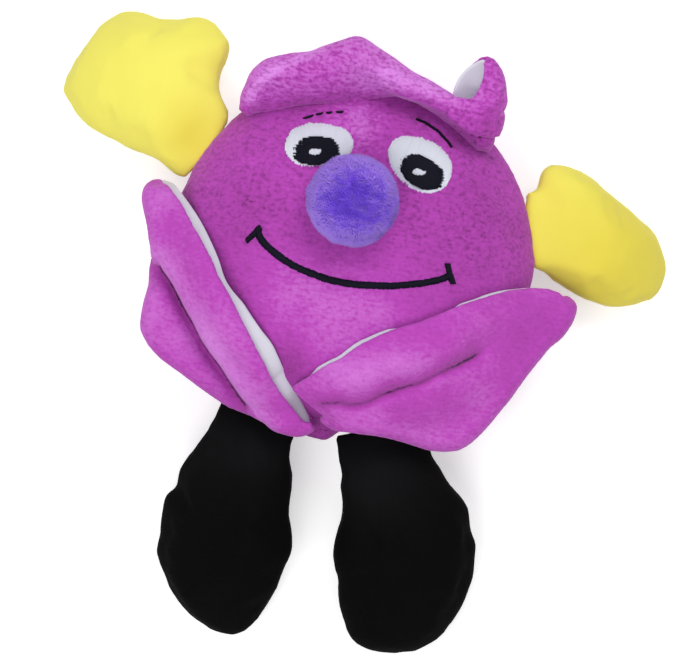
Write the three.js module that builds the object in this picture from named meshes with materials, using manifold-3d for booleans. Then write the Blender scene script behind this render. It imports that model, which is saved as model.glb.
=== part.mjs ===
// A squeaky plush dog toy that lies on its back: a round stuffed face with a nose, two hands, two legs
// and three folded leaves, and a squeaker inside. Lengths are in millimetres and angles in degrees.
// +Z is the way the face looks, +Y is towards the crown, and +X is to the right of someone who faces it.
// The origin is the middle of the flat patch that the back rests on. A name that ends in share or shares
// is a part of the size that it follows.

import * as THREE from "three";
import { mergeVertices } from "three/addons/utils/BufferGeometryUtils.js";
import Module from "manifold-3d";

const wasm = await Module();
wasm.setup();

// Fabric, thread and clearance
const seamGap = 0.3;
const plushThickness = 2;
const liningThickness = 1.2;
const threadThickness = 0.7;
const seamEdge = 1;
const limbSeamEdge = 0.6;
const restFlat = 0.5;

// Body
const bodyHalfWidth = 56.5;
const bodyHalfHeight = 54.75;
const faceSwell = 24;
const seamHeight = 21;

// Squeaker
const squeakerRadius = 17;
const squeakerHalfHeight = 10;
const squeakerWall = 1;
const squeakerRim = 1;
const squeakerTravel = 6;
const reedHolderRadius = 4;
const reedHolderHeight = 6;
const reedHolderFlange = 2;
const reedBoreRadius = 2.2;
const reedThickness = 0.4;

// Nose
const noseRadius = 14.4;
const noseHalfHeight = 10.5;
const noseOpening = 4;
const noseX = -2.5;
const noseY = 15.5;

// Embroidery
const eyeWhiteLength = 20.8;
const eyeWhiteWidth = 13.6;
const pupilLength = 14;
const pupilWidth = 8.6;
const glintLength = 3.8;
const glintWidth = 2.8;
const browWidth = 1.1;
const mouthWidth = 2.4;

// Leaves
const leafRise = 2.4;
const leafRootStandOff = 2.3;
const leafFold = 6.5;
const liningOverhang = 1.6;
const crownRise = 20;
const leafFlatteningLength = 24;

// Limbs
const handThickness = 24;
const legThickness = 28;
const leftHandLength = 49;
const leftHandWidth = 50;
const rightHandLength = 40;
const rightHandWidth = 46.5;
const legLength = 65;
const legWidth = 45.5;

// Form of a stuffed piece: how full it stays towards its seam, and how steeply it ends there
const crownPower = 2.4;
const edgePower = 0.6;
const rootSlope = 0.55;
const wadShare = 0.85;
const outerRingShares = [0.34, 0.58, 0.76, 0.89, 0.965];
const innerRingShares = [0.45, 0.8];

// Directions of the sewn roots, from the body's centre, anticlockwise from +X
const leftHandAngle = 155;
const rightHandAngle = 17.8;
const leftLegAngle = -108.4;
const rightLegAngle = -69.7;

const materials = {
  magentaPlush: fabric(0xb448ae),
  violetPlush: fabric(0x6c4cc4),
  yellowPlush: fabric(0xf4e864),
  blackPlush: fabric(0x101012),
  whiteLining: fabric(0xdcdce4),
  darkThread: fabric(0x14142a),
  whiteThread: fabric(0xf2f2f0),
  stuffing: fabric(0xf6f6f2),
  squeakerPlastic: new THREE.MeshStandardMaterial({ color: 0xf0efe8, roughness: 0.45, metalness: 0 }),
  reedPlastic: new THREE.MeshStandardMaterial({ color: 0xc8d4dc, roughness: 0.3, metalness: 0 }),
};

function fabric(color) {
  return new THREE.MeshStandardMaterial({ color, roughness: 0.92, metalness: 0 });
}

// Profile of a stuffed form, from 1 at its middle to 0 at its seam.
function pillow(share) {
  return Math.pow(Math.max(0, 1 - Math.pow(share, crownPower)), edgePower);
}

// Distance from the body's middle, as a share of the way to its seam.
function bodyShare(x, y) {
  return Math.hypot(x / bodyHalfWidth, y / bodyHalfHeight);
}

function faceHeight(x, y) {
  return seamHeight + seamGap / 2 + seamEdge + faceSwell * pillow(bodyShare(x, y));
}

// How far the body reaches in a direction, which is where a straight edge just touches it.
function bodyReach(angle) {
  const turn = THREE.MathUtils.degToRad(angle);
  return Math.hypot(bodyHalfWidth * Math.cos(turn), bodyHalfHeight * Math.sin(turn));
}

// Cloth that is drawn over the face follows it up to a share of the way to the seam, and from there on it falls
// in a curve that flattens out beyond the seam.
const clothLeavesShare = 0.86;

function clothHeight(x, y) {
  const share = bodyShare(x, y);
  if (share <= clothLeavesShare) return faceHeight(x, y) + leafRise;
  const stepShare = 0.01;
  const edgeHeight = pillow(clothLeavesShare);
  const rise = faceSwell * (pillow(clothLeavesShare - stepShare) - edgeHeight);
  const slope = rise / (stepShare * bodyHalfWidth);
  const beyond = Math.min((share - clothLeavesShare) * bodyHalfWidth, leafFlatteningLength);
  const fall = slope * beyond * (1 - beyond / (2 * leafFlatteningLength));
  return seamHeight + seamGap / 2 + seamEdge + faceSwell * edgeHeight + leafRise - fall;
}

function geometryOf(vertices, triangles) {
  const geometry = new THREE.BufferGeometry();
  geometry.setAttribute("position", new THREE.Float32BufferAttribute(vertices, 3));
  geometry.setIndex(triangles);
  return geometry;
}

function solidOf(geometry) {
  const bare = geometry.clone();
  bare.deleteAttribute("normal");
  bare.deleteAttribute("uv");
  const merged = mergeVertices(bare);
  const vertProperties = new Float32Array(merged.attributes.position.array);
  const triVerts = new Uint32Array(merged.index.array);
  return new wasm.Manifold(new wasm.Mesh({ numProp: 3, vertProperties, triVerts }));
}

function geometryOfSolid(solid) {
  const mesh = solid.getMesh();
  const positions = new THREE.BufferAttribute(new Float32Array(mesh.vertProperties), 3);
  const geometry = new THREE.BufferGeometry().setAttribute("position", positions);
  geometry.setIndex([...mesh.triVerts]);
  return geometry;
}

function addMesh(group, name, geometry, material) {
  geometry.computeVertexNormals();
  const mesh = new THREE.Mesh(geometry, material);
  mesh.name = name;
  group.add(mesh);
  return mesh;
}

// A closed form in rings about a centre. Each ring is the outline, drawn in by an inset and then to a
// share of what is left, at the height that its function gives. The first and the last ring end in a point.
function ringForm(outline, centre, rings) {
  const count = outline.length;
  const place = (ring, point, share) => {
    const reach = Math.max(point.distanceTo(centre) - ring.inset, 0) * share;
    const at = point.clone().sub(centre).setLength(reach).add(centre);
    return [at.x, at.y, ring.height(at.x, at.y, share)];
  };
  const first = rings[0];
  const last = rings[rings.length - 1];
  const vertices = [...place(first, outline[0], 0)];
  for (const ring of rings) for (const point of outline) vertices.push(...place(ring, point, ring.share));
  vertices.push(...place(last, outline[0], 0));
  const lastPole = rings.length * count + 1;
  const at = (row, column) => 1 + row * count + (column % count);
  const triangles = [];
  for (let column = 0; column < count; column++) {
    triangles.push(0, at(0, column), at(0, column + 1));
    for (let row = 0; row + 1 < rings.length; row++) {
      triangles.push(at(row, column), at(row + 1, column), at(row + 1, column + 1));
      triangles.push(at(row, column), at(row + 1, column + 1), at(row, column + 1));
    }
    triangles.push(lastPole, at(rings.length - 1, column + 1), at(rings.length - 1, column));
  }
  return geometryOf(vertices, triangles);
}

// One plush panel of a stuffed form: swollen outside, hollow inside, with a flat sewn edge on the seam plane.
// The root height keeps it thin beside the root that it bends at.
function panelForm(outline, centre, edge, swell, rootHeight) {
  const outside = (x, y, share) => edge + Math.min(swell * pillow(share), rootHeight(x));
  const hollow = (x, y, share) => {
    const room = Math.min((swell - plushThickness) * pillow(share), rootHeight(x) - plushThickness);
    return Math.max(room, 0);
  };
  const flat = () => 0;
  return ringForm(outline, centre, [
    ...outerRingShares.map((share) => ({ inset: 0, share, height: outside })),
    { inset: 0, share: 1, height: outside },
    { inset: 0, share: 1, height: flat },
    { inset: plushThickness, share: 1, height: flat },
    ...innerRingShares.toReversed().map((share) => ({ inset: plushThickness, share, height: hollow })),
  ]);
}

// The wad that fills the hollow between two panels. It starts where the panels have opened enough beyond the root.
function wadForm(outline, centre, swell, rootHeight) {
  const inset = plushThickness + seamGap;
  const spare = plushThickness + 2 * seamGap;
  const side = (sign) => (x, y, share) => {
    const room = Math.min((swell - spare) * pillow(share), rootHeight(x) - spare);
    return sign * (wadShare * Math.max(room, 0) + seamGap / 2);
  };
  const start = spare / rootSlope;
  const wadOutline = outline.map((point) => {
    const missing = Math.max(start - point.x, 0);
    return point.clone().lerp(centre, missing / (centre.x - point.x));
  });
  const rings = [...innerRingShares, 1];
  return ringForm(wadOutline, centre, [
    ...rings.map((share) => ({ inset, share, height: side(1) })),
    ...rings.toReversed().map((share) => ({ inset, share, height: side(-1) })),
  ]);
}

function turnedOver(geometry) {
  return geometry.applyMatrix4(new THREE.Matrix4().makeRotationX(Math.PI));
}

// Takes off what is lower than the surface that the toy lies on. The matrix is the piece's place.
function cutAtFloor(solid, matrix) {
  const size = 8 * bodyHalfWidth;
  const slab = new THREE.BoxGeometry(size, size, size).translate(0, 0, -size / 2);
  slab.applyMatrix4(matrix.clone().invert());
  return geometryOfSolid(solid.subtract(solidOf(slab)));
}

function ellipse(halfX, halfY, count) {
  const step = (2 * Math.PI) / count;
  const points = [];
  for (let i = 0; i < count; i++) {
    points.push(new THREE.Vector2(halfX * Math.cos(i * step), halfY * Math.sin(i * step)));
  }
  return points;
}

function latheOf(profile, segments) {
  return new THREE.LatheGeometry(profile.map(([r, z]) => new THREE.Vector2(r, z)), segments).rotateX(Math.PI / 2);
}

// Body: a face panel and a back panel, sewn at the seam, with a wad of filling on each side of the squeaker
const bodySideCount = 36;
const pocketRadius = squeakerRadius + seamGap;
const pocketDepth = squeakerHalfHeight + seamGap;
const legLipShare = 0.27;
const lipStepCount = 4;

function bodyPanel(swell) {
  const outline = ellipse(bodyHalfWidth, bodyHalfHeight, bodySideCount);
  const freeOfRoots = () => Infinity;
  return panelForm(outline, new THREE.Vector2(), seamEdge, swell, freeOfRoots);
}

// The back panel's edge reaches out under the leaves, as a lip that a leg's root is sewn to.
function legLip(angle) {
  const turn = THREE.MathUtils.degToRad(angle);
  const out = new THREE.Vector2(Math.cos(turn), Math.sin(turn));
  const along = new THREE.Vector2(-out.y, out.x);
  const halfWidth = legLipShare * legWidth;
  const rimShare = 1 - plushThickness / 2 / bodyHalfHeight;
  const outer = [];
  const inner = [];
  for (let i = 0; i <= lipStepCount; i++) {
    const sideways = halfWidth * ((2 * i) / lipStepCount - 1);
    const at = out.clone().multiplyScalar(legRoot(angle) - seamGap).addScaledVector(along, sideways);
    outer.push(at);
    inner.push(at.clone().multiplyScalar(rimShare / bodyShare(at.x, at.y)));
  }
  const shape = new THREE.Shape([...outer, ...inner.toReversed()]);
  const lip = new THREE.ExtrudeGeometry(shape, { depth: seamEdge, bevelEnabled: false });
  return solidOf(lip.translate(0, 0, -seamEdge));
}

// Half of the filling, with the pocket that the squeaker lies in.
function bodyWad(swell) {
  const inset = plushThickness + seamGap;
  const spare = plushThickness + 2 * seamGap;
  const least = Math.min(bodyHalfWidth, bodyHalfHeight) - inset;
  const pocketShare = pocketRadius / least;
  const pocketWallShare = (pocketRadius + seamGap) / least;
  const outside = (x, y, share) => (swell - spare) * pillow(share) + seamGap / 2;
  const flat = () => seamGap / 2;
  const pocket = () => pocketDepth;
  return ringForm(ellipse(bodyHalfWidth, bodyHalfHeight, bodySideCount), new THREE.Vector2(), [
    ...innerRingShares.map((share) => ({ inset, share, height: outside })),
    { inset, share: 1, height: flat },
    { inset, share: pocketWallShare, height: flat },
    { inset, share: pocketShare, height: pocket },
  ]);
}

function makeBody() {
  const group = new THREE.Group();
  const backSwell = seamHeight + restFlat - seamGap / 2 - seamEdge;
  const front = new THREE.Group();
  front.position.z = seamHeight + seamGap / 2;
  addMesh(front, "face_panel", bodyPanel(faceSwell), materials.magentaPlush);
  const back = new THREE.Group();
  back.position.z = seamHeight - seamGap / 2;
  back.updateMatrix();
  let backPanel = solidOf(turnedOver(bodyPanel(backSwell)));
  for (const angle of [leftLegAngle, rightLegAngle]) backPanel = backPanel.add(legLip(angle));
  addMesh(back, "back_panel", cutAtFloor(backPanel, back.matrix), materials.magentaPlush);
  const inside = new THREE.Group();
  inside.position.z = seamHeight;
  addMesh(inside, "front_stuffing", bodyWad(faceSwell), materials.stuffing);
  addMesh(inside, "back_stuffing", turnedOver(bodyWad(backSwell)), materials.stuffing);
  group.add(front, back, inside);
  return group;
}

// Squeaker: a soft dome that folds into a cup and blows air through a reed in the cup's floor
function makeSqueaker() {
  const group = new THREE.Group();
  group.position.z = seamHeight;
  const sideCount = 24;
  const floor = -squeakerHalfHeight;
  const chamfer = 2 * squeakerWall;
  const outer = squeakerRadius;
  const inner = squeakerRadius - squeakerWall;
  const cup = [
    [reedHolderRadius, floor],
    [outer - chamfer, floor],
    [outer, floor + chamfer],
    [outer, squeakerRim],
    [inner, squeakerRim],
    [inner, floor + chamfer + squeakerWall],
    [inner - chamfer, floor + squeakerWall],
    [reedHolderRadius, floor + squeakerWall],
    [reedHolderRadius, floor],
  ];
  addMesh(group, "squeaker_cup", latheOf(cup, sideCount), materials.squeakerPlastic);

  const domeRadius = inner - seamGap;
  const domeBase = squeakerRim;
  const domeStepCount = 6;
  const dome = [];
  for (let i = 0; i <= domeStepCount; i++) {
    const turn = (Math.PI / 2) * (1 - i / domeStepCount);
    dome.push([domeRadius * Math.cos(turn), domeBase + (squeakerHalfHeight - domeBase) * Math.sin(turn)]);
  }
  const skirt = floor + squeakerWall + chamfer + squeakerTravel;
  dome.push([domeRadius, skirt], [domeRadius - squeakerWall, skirt]);
  for (let i = domeStepCount; i >= 0; i--) {
    const turn = (Math.PI / 2) * (1 - i / domeStepCount);
    const height = squeakerHalfHeight - domeBase - squeakerWall;
    dome.push([(domeRadius - squeakerWall) * Math.cos(turn), domeBase + height * Math.sin(turn)]);
  }
  dome[0][0] = 0;
  dome[dome.length - 1][0] = 0;
  addMesh(group, "squeaker_dome", latheOf(dome.toReversed(), sideCount), materials.squeakerPlastic);

  const stem = reedHolderRadius - seamGap;
  const flangeBase = floor + squeakerWall + seamGap;
  const holder = [
    [reedBoreRadius, floor],
    [stem, floor],
    [stem, flangeBase],
    [reedHolderRadius + reedHolderFlange, flangeBase],
    [reedHolderRadius + reedHolderFlange, flangeBase + squeakerWall],
    [stem, flangeBase + squeakerWall],
    [stem, floor + reedHolderHeight],
    [reedBoreRadius, floor + reedHolderHeight],
    [reedBoreRadius, floor],
  ];
  addMesh(group, "reed_holder", latheOf(holder, sideCount), materials.squeakerPlastic);

  const reedWidth = 2 * (reedBoreRadius - seamGap);
  const reedHeight = reedHolderHeight - 2 * seamGap;
  const reed = new THREE.BoxGeometry(reedWidth, reedThickness, reedHeight);
  reed.translate(0, 0, floor + reedHolderHeight / 2);
  addMesh(group, "squeaker_reed", reed, materials.reedPlastic);
  return group;
}

// Nose: a gathered ball of plush round its own filling, drawn shut and sewn to the face
function makeNose() {
  const group = new THREE.Group();
  const sideCount = 24;
  const stepCount = 7;
  const ball = (radius, halfHeight, opening) => {
    const start = opening ? -Math.acos(opening / radius) : -Math.PI / 2;
    const profile = [];
    for (let i = 0; i <= stepCount; i++) {
      const turn = start + (Math.PI / 2 - start) * (i / stepCount);
      const onAxis = i === stepCount || (i === 0 && !opening);
      profile.push([onAxis ? 0 : radius * Math.cos(turn), halfHeight * Math.sin(turn)]);
    }
    return profile;
  };
  const outside = ball(noseRadius, noseHalfHeight, noseOpening);
  const inside = ball(noseRadius - plushThickness, noseHalfHeight - plushThickness, noseOpening);
  const cover = [...outside, ...inside.toReversed(), outside[0]];
  const spare = plushThickness + seamGap;
  const filling = ball(noseRadius - spare, noseHalfHeight - spare, 0);

  const probe = noseOpening;
  const base = new THREE.Vector3(noseX, noseY, faceHeight(noseX, noseY));
  const fallX = faceHeight(noseX - probe, noseY) - faceHeight(noseX + probe, noseY);
  const fallY = faceHeight(noseX, noseY - probe) - faceHeight(noseX, noseY + probe);
  const normal = new THREE.Vector3(fallX, fallY, 2 * probe).normalize();
  const centreHeight = seamGap - outside[0][1];
  group.quaternion.setFromUnitVectors(new THREE.Vector3(0, 0, 1), normal);
  group.position.copy(base).addScaledVector(normal, centreHeight);
  addMesh(group, "nose_cover", latheOf(cover, sideCount), materials.violetPlush);
  addMesh(group, "nose_stuffing", latheOf(filling, sideCount), materials.stuffing);
  return group;
}

// Embroidery: flat figures of thread that are laid on the face, with edges short enough to follow it
const stitchStep = 5;

function figure(points, holes = []) {
  const shape = new THREE.Shape(points);
  for (const hole of holes) shape.holes.push(new THREE.Path(hole));
  return solidOf(new THREE.ExtrudeGeometry(shape, { depth: threadThickness, bevelEnabled: false }));
}

function laidOnFace(flatSolid) {
  const geometry = geometryOfSolid(flatSolid.refineToLength(stitchStep));
  const place = geometry.attributes.position;
  for (let i = 0; i < place.count; i++) {
    const stand = seamGap + place.getZ(i);
    place.setZ(i, faceHeight(place.getX(i), place.getY(i)) + stand);
  }
  return geometry;
}

function onBody([xShare, yShare]) {
  return new THREE.Vector2(xShare * bodyHalfWidth, yShare * bodyHalfHeight);
}

function oval(placeShares, length, width, tilt) {
  const middle = onBody(placeShares);
  const turn = THREE.MathUtils.degToRad(tilt);
  const level = ellipse(length / 2, width / 2, eyeSideCount);
  return level.map((point) => point.add(middle).rotateAround(middle, turn));
}

// A line of stitching of one width along a curve.
function stitched(shares, width, stepCount) {
  const line = new THREE.SplineCurve(shares.map(onBody));
  const left = [];
  const right = [];
  for (let i = 0; i <= stepCount; i++) {
    const at = line.getPoint(i / stepCount);
    const along = line.getTangent(i / stepCount);
    const across = new THREE.Vector2(-along.y, along.x).multiplyScalar(width / 2);
    left.push(at.clone().add(across));
    right.push(at.clone().sub(across));
  }
  return figure([...right, ...left.toReversed()]);
}

const eyeSideCount = 18;
// Places in shares of the body's half width and half height
const eyes = [
  {
    side: "left",
    lengthShare: 1,
    tilt: 11,
    placeShares: [-0.292, 0.555],
    pupilShares: [-0.294, 0.526],
    pupilTilt: 8,
  },
  {
    side: "right",
    lengthShare: 1.03,
    tilt: -24,
    placeShares: [0.273, 0.557],
    pupilShares: [0.292, 0.519],
    pupilTilt: -14,
  },
];
const browShares = {
  left: [
    [-0.391, 0.687],
    [-0.304, 0.731],
    [-0.207, 0.763],
  ],
  right: [
    [0.212, 0.804],
    [0.304, 0.773],
    [0.373, 0.742],
    [0.423, 0.698],
  ],
};
const mouthShares = [
  [-0.526, -0.004],
  [-0.467, -0.038],
  [-0.34, -0.115],
  [-0.219, -0.15],
  [-0.071, -0.174],
  [0.065, -0.177],
  [0.235, -0.15],
  [0.4, -0.1],
  [0.549, -0.033],
];
const mouthTickShares = [
  [
    [-0.503, 0.047],
    [-0.566, -0.062],
  ],
  [
    [0.522, 0.037],
    [0.57, -0.08],
  ],
];
const mouthStepCount = 18;
const tickStepCount = 2;
const browStepCount = 6;

function makeFace() {
  const group = new THREE.Group();
  const grown = 2 * seamGap;
  for (const eye of eyes) {
    const pupil = (grow) => oval(eye.pupilShares, pupilLength + grow, pupilWidth + grow, eye.pupilTilt);
    const glint = (grow) => oval(eye.pupilShares, glintLength + grow, glintWidth + grow, 0);
    const white = oval(eye.placeShares, eye.lengthShare * eyeWhiteLength, eyeWhiteWidth, eye.tilt);
    const whiteFigure = laidOnFace(figure(white, [pupil(grown)]));
    const pupilFigure = laidOnFace(figure(pupil(0), [glint(grown)]));
    const glintFigure = laidOnFace(figure(glint(0)));
    addMesh(group, `${eye.side}_eye_white`, whiteFigure, materials.whiteThread);
    addMesh(group, `${eye.side}_pupil`, pupilFigure, materials.darkThread);
    addMesh(group, `${eye.side}_eye_glint`, glintFigure, materials.whiteThread);
  }
  for (const [side, shares] of Object.entries(browShares)) {
    const brow = laidOnFace(stitched(shares, browWidth, browStepCount));
    addMesh(group, `${side}_brow`, brow, materials.darkThread);
  }
  let mouth = stitched(mouthShares, mouthWidth, mouthStepCount);
  for (const tick of mouthTickShares) mouth = mouth.add(stitched(tick, mouthWidth, tickStepCount));
  addMesh(group, "mouth_stitching", laidOnFace(mouth), materials.darkThread);
  return group;
}

// Leaves: each is a plush sheet and a lining sheet, a seam's gap apart on both sides of one folded
// surface. A surface gives a point for u along the leaf and v across it.
const leafAlongCount = 15;
const leafAcrossCount = 10;

// The outward direction of a leaf's surface, which is the side that shows at its free edge.
function outwardOf(surface) {
  const probe = 0.01;
  const cross = (u, v) => {
    const along = surface(Math.min(u + probe, 1), v).sub(surface(Math.max(u - probe, 0), v));
    const across = surface(u, v + probe).sub(surface(u, v - probe));
    return along.cross(across).normalize();
  };
  const side = Math.sign(cross(0.5, 0).z);
  return (u, v) => cross(u, v).multiplyScalar(side);
}

// A sheet between two distances from a surface, which reaches past the surface's first edge by an overhang.
function sheetForm(surface, low, high, overhangShare) {
  const outward = outwardOf(surface);
  const across = [...Array(leafAcrossCount + 1).keys()].map((column) => column / leafAcrossCount);
  if (overhangShare > 0) across.unshift(-overhangShare);
  const columns = across.length;
  const rows = leafAlongCount + 1;
  const lastColumn = columns - 1;
  const sides = [low, high].map((distance) => {
    const points = [];
    for (let row = 0; row < rows; row++) {
      for (let column = 0; column < columns; column++) {
        const u = row / leafAlongCount;
        const v = across[column];
        points.push(surface(u, v).addScaledVector(outward(u, v), distance));
      }
    }
    return points;
  });
  const [bottom, top] = sides;
  const vertices = [...bottom, ...top].flatMap((point) => point.toArray());
  const at = (row, column, side) => side * bottom.length + row * columns + column;
  const triangles = [];
  const quad = (a, b, c, d) => triangles.push(a, b, c, a, c, d);
  for (let row = 0; row < leafAlongCount; row++) {
    for (let column = 0; column < lastColumn; column++) {
      const [a, b] = [at(row, column, 1), at(row + 1, column, 1)];
      const [c, d] = [at(row + 1, column + 1, 1), at(row, column + 1, 1)];
      quad(a, b, c, d);
      quad(...[a, d, c, b].map((index) => index - bottom.length));
    }
    quad(at(row, 0, 0), at(row + 1, 0, 0), at(row + 1, 0, 1), at(row, 0, 1));
    quad(
      at(row + 1, lastColumn, 0),
      at(row, lastColumn, 0),
      at(row, lastColumn, 1),
      at(row + 1, lastColumn, 1),
    );
  }
  for (let column = 0; column < lastColumn; column++) {
    quad(at(0, column + 1, 0), at(0, column, 0), at(0, column, 1), at(0, column + 1, 1));
    quad(
      at(leafAlongCount, column, 0),
      at(leafAlongCount, column + 1, 0),
      at(leafAlongCount, column + 1, 1),
      at(leafAlongCount, column, 1),
    );
  }
  const geometry = geometryOf(vertices, triangles);
  return solidOf(geometry).volume() < 0 ? geometryOf(vertices, triangles.toReversed()) : geometry;
}

function valueAlong(shares, t) {
  const place = THREE.MathUtils.clamp(t, 0, 1) * (shares.length - 1);
  const before = Math.min(Math.floor(place), shares.length - 2);
  return THREE.MathUtils.lerp(shares[before], shares[before + 1], place - before);
}

// Shares of the body's half width and half height, from the root to the tip
const leftLeafInnerShares = [
  [-0.05, -1.03],
  [-0.13, -0.88],
  [-0.27, -0.7],
  [-0.4, -0.53],
  [-0.54, -0.38],
  [-0.65, -0.23],
  [-0.77, -0.05],
  [-0.9, 0.12],
  [-1.0, 0.2],
  [-1.08, 0.215],
];
const leftLeafOuterShares = [
  [-0.13, -0.99],
  [-0.27, -0.963],
  [-0.42, -0.907],
  [-0.57, -0.85],
  [-0.8, -0.79],
  [-0.97, -0.69],
  [-1.04, -0.55],
  [-1.03, -0.4],
  [-1.03, -0.26],
  [-1.09, -0.09],
  [-1.13, 0.07],
  [-1.11, 0.16],
];
const rightLeafInnerShares = [
  [0.01, -1.03],
  [-0.065, -0.9],
  [-0.12, -0.76],
  [-0.02, -0.63],
  [0.14, -0.505],
  [0.34, -0.36],
  [0.54, -0.245],
  [0.74, -0.105],
  [0.94, -0.02],
  [1.11, 0.01],
  [1.18, 0],
];
const rightLeafOuterShares = [
  [0.1, -0.995],
  [0.24, -0.97],
  [0.42, -0.91],
  [0.56, -0.84],
  [0.7, -0.86],
  [0.81, -0.86],
  [0.89, -0.75],
  [1.01, -0.56],
  [1.12, -0.37],
  [1.21, -0.2],
  [1.23, -0.1],
];
// A lower leaf is creased along its length: from its free edge to the crease it stands up in a roll, and from the
// crease to its outline it lies as a skirt. The crease is a share of the way across, from the root to the tip. The
// lifts are shares of the fold's height, off the cloth's plain course, with more or less of them along the leaf.
const leftFold = {
  creaseShares: [0.7, 0.7, 0.75, 0.8, 0.75, 0.65, 0.59, 0.53, 0.51, 0.55, 0.66, 0.78, 0.8, 0.8, 0.8, 0.8],
  rollShares: [0.5, 0.85, 1, 1, 0.9, 0.65, 0],
  skirtShares: [0, 0.25, 0.35, 0.25, 0.1],
};
const rightFold = {
  creaseShares: [0.5, 0.45, 0.45, 0.53, 0.55, 0.53, 0.48, 0.45, 0.46, 0.48, 0.46, 0.43, 0.45, 0.5, 0.5, 0.5],
  rollShares: [0.12, 0.4, 0.6, 0.68, 0.7, 0.55, 0.25],
  skirtShares: [0.25, 0.65, 0.8, 0.7, 0.6],
};
const foldAlongShares = [0, 0.6, 1, 1, 1, 1, 1, 0.9, 0.6, 0.1];
const rollSpanShare = 0.6;
// A skirt narrower than this share of the leaf lies flatter
const fullSkirtShare = 0.35;
const leafRootShare = 0.3;
const leafRootFadeShare = 0.12;
const leafRootDropShare = 0.8;

function lowerLeafSurface(innerShares, outerShares, fold) {
  const edge = (shares, standOff) => {
    const points = shares.map((placeShares) => {
      const place = onBody(placeShares);
      return new THREE.Vector3(place.x, place.y, 0).setLength(place.length() + standOff);
    });
    return new THREE.CatmullRomCurve3(points, false, "centripetal");
  };
  const inner = edge(innerShares, 0);
  const outer = edge(outerShares, leafRootStandOff);
  const rootHeight = seamHeight + seamGap + liningThickness;
  return (u, v) => {
    const crease = valueAlong(fold.creaseShares, u);
    const onRoll = v < rollSpanShare;
    const share = onRoll ? v / rollSpanShare : (v - rollSpanShare) / (1 - rollSpanShare);
    const across = onRoll ? share * crease : crease + share * (1 - crease);
    const at = inner.getPointAt(u).lerp(outer.getPointAt(u), across);
    const skirtFullness = Math.min(1, (1 - crease) / fullSkirtShare);
    const rise = onRoll ? valueAlong(fold.rollShares, share) : skirtFullness * valueAlong(fold.skirtShares, share);
    const lift = leafFold * rise * valueAlong(foldAlongShares, u);
    const atRoot = 1 - THREE.MathUtils.smoothstep(u, leafRootShare, leafRootShare + leafRootFadeShare);
    const drop = atRoot * THREE.MathUtils.smoothstep(v, leafRootDropShare, 1);
    at.z = THREE.MathUtils.lerp(clothHeight(at.x, at.y) + lift, rootHeight, drop);
    return at;
  };
}

// The crown leaf rises from the seam behind the crown, turns over and comes down on the forehead. Each row
// runs from its left end to the curled ear at its right, in shares of the body's half width, half height and
// the leaf's rise.
const crownRootShares = [
  [-0.6, 0.83, 0.2],
  [-0.42, 0.93, 0.05],
  [-0.24, 0.995, 0.05],
  [0, 1.025, 0.05],
  [0.22, 1, 0.05],
  [0.4, 0.94, 0.05],
  [0.56, 0.86, 0.2],
];
const crownBulgeShares = [
  [-0.72, 0.87, 0.45],
  [-0.52, 0.98, 0.45],
  [-0.3, 1.08, 0.45],
  [-0.06, 1.14, 0.5],
  [0.22, 1.04, 0.45],
  [0.42, 1.02, 0.5],
  [0.62, 0.98, 0.6],
];
const crownTopShares = [
  [-0.74, 0.81, 0.75],
  [-0.5, 0.92, 0.95],
  [-0.3, 1.01, 1.08],
  [-0.05, 1.05, 1.1],
  [0.24, 0.97, 1],
  [0.44, 1, 1.1],
  [0.6, 1.08, 1.3],
];
const crownHemShares = [
  [-0.72, 0.68, 0.52],
  [-0.45, 0.76, 0.84],
  [-0.25, 0.82, 0.94],
  [-0.02, 0.87, 0.91],
  [0.24, 0.87, 0.85],
  [0.46, 0.8, 0.85],
  [0.64, 0.74, 0.78],
];

function crownLeafSurface() {
  const rowShares = [crownRootShares, crownBulgeShares, crownTopShares, crownHemShares];
  const rows = rowShares.map((shares, row) => {
    const standOff = row === 0 ? leafRootStandOff : 0;
    const points = shares.map(([xShare, yShare, riseShare]) => {
      const flat = onBody([xShare, yShare]);
      flat.setLength(flat.length() + standOff);
      return new THREE.Vector3(flat.x, flat.y, seamHeight + riseShare * crownRise);
    });
    return new THREE.CatmullRomCurve3(points, false, "centripetal");
  });
  return (u, v) => {
    const across = new THREE.CatmullRomCurve3(rows.map((row) => row.getPoint(u)), false, "centripetal");
    const share = 1 - v;
    if (share <= 1) return across.getPoint(Math.max(share, 0));
    const end = across.getPoint(1);
    return end.addScaledVector(across.getTangent(1), (share - 1) * across.getLength());
  };
}

function makeLeaf(name, surface) {
  const group = new THREE.Group();
  const width = surface(0.5, 0).distanceTo(surface(0.5, 1));
  const plush = sheetForm(surface, seamGap / 2, seamGap / 2 + plushThickness, 0);
  const lining = sheetForm(surface, -seamGap / 2 - liningThickness, -seamGap / 2, liningOverhang / width);
  addMesh(group, `${name}_plush`, plush, materials.magentaPlush);
  addMesh(group, `${name}_lining`, lining, materials.whiteLining);
  return group;
}

// Limbs: two plush panels round a wad. A limb bends at its sewn root, hangs down from the seam and rests on its
// thickest part. Its outline runs from one end of the root to the other, in shares of its length and width.
const limbSideCount = 20;
const rootSideCount = 3;

function limbOutline(shares, length, width) {
  const points = shares.map(([along, across]) => new THREE.Vector2(along * length, across * width));
  const outline = new THREE.SplineCurve(points).getSpacedPoints(limbSideCount);
  const first = points[0];
  const last = points[points.length - 1];
  for (let i = 1; i < rootSideCount; i++) outline.push(last.clone().lerp(first, i / rootSideCount));
  return outline;
}

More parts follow.
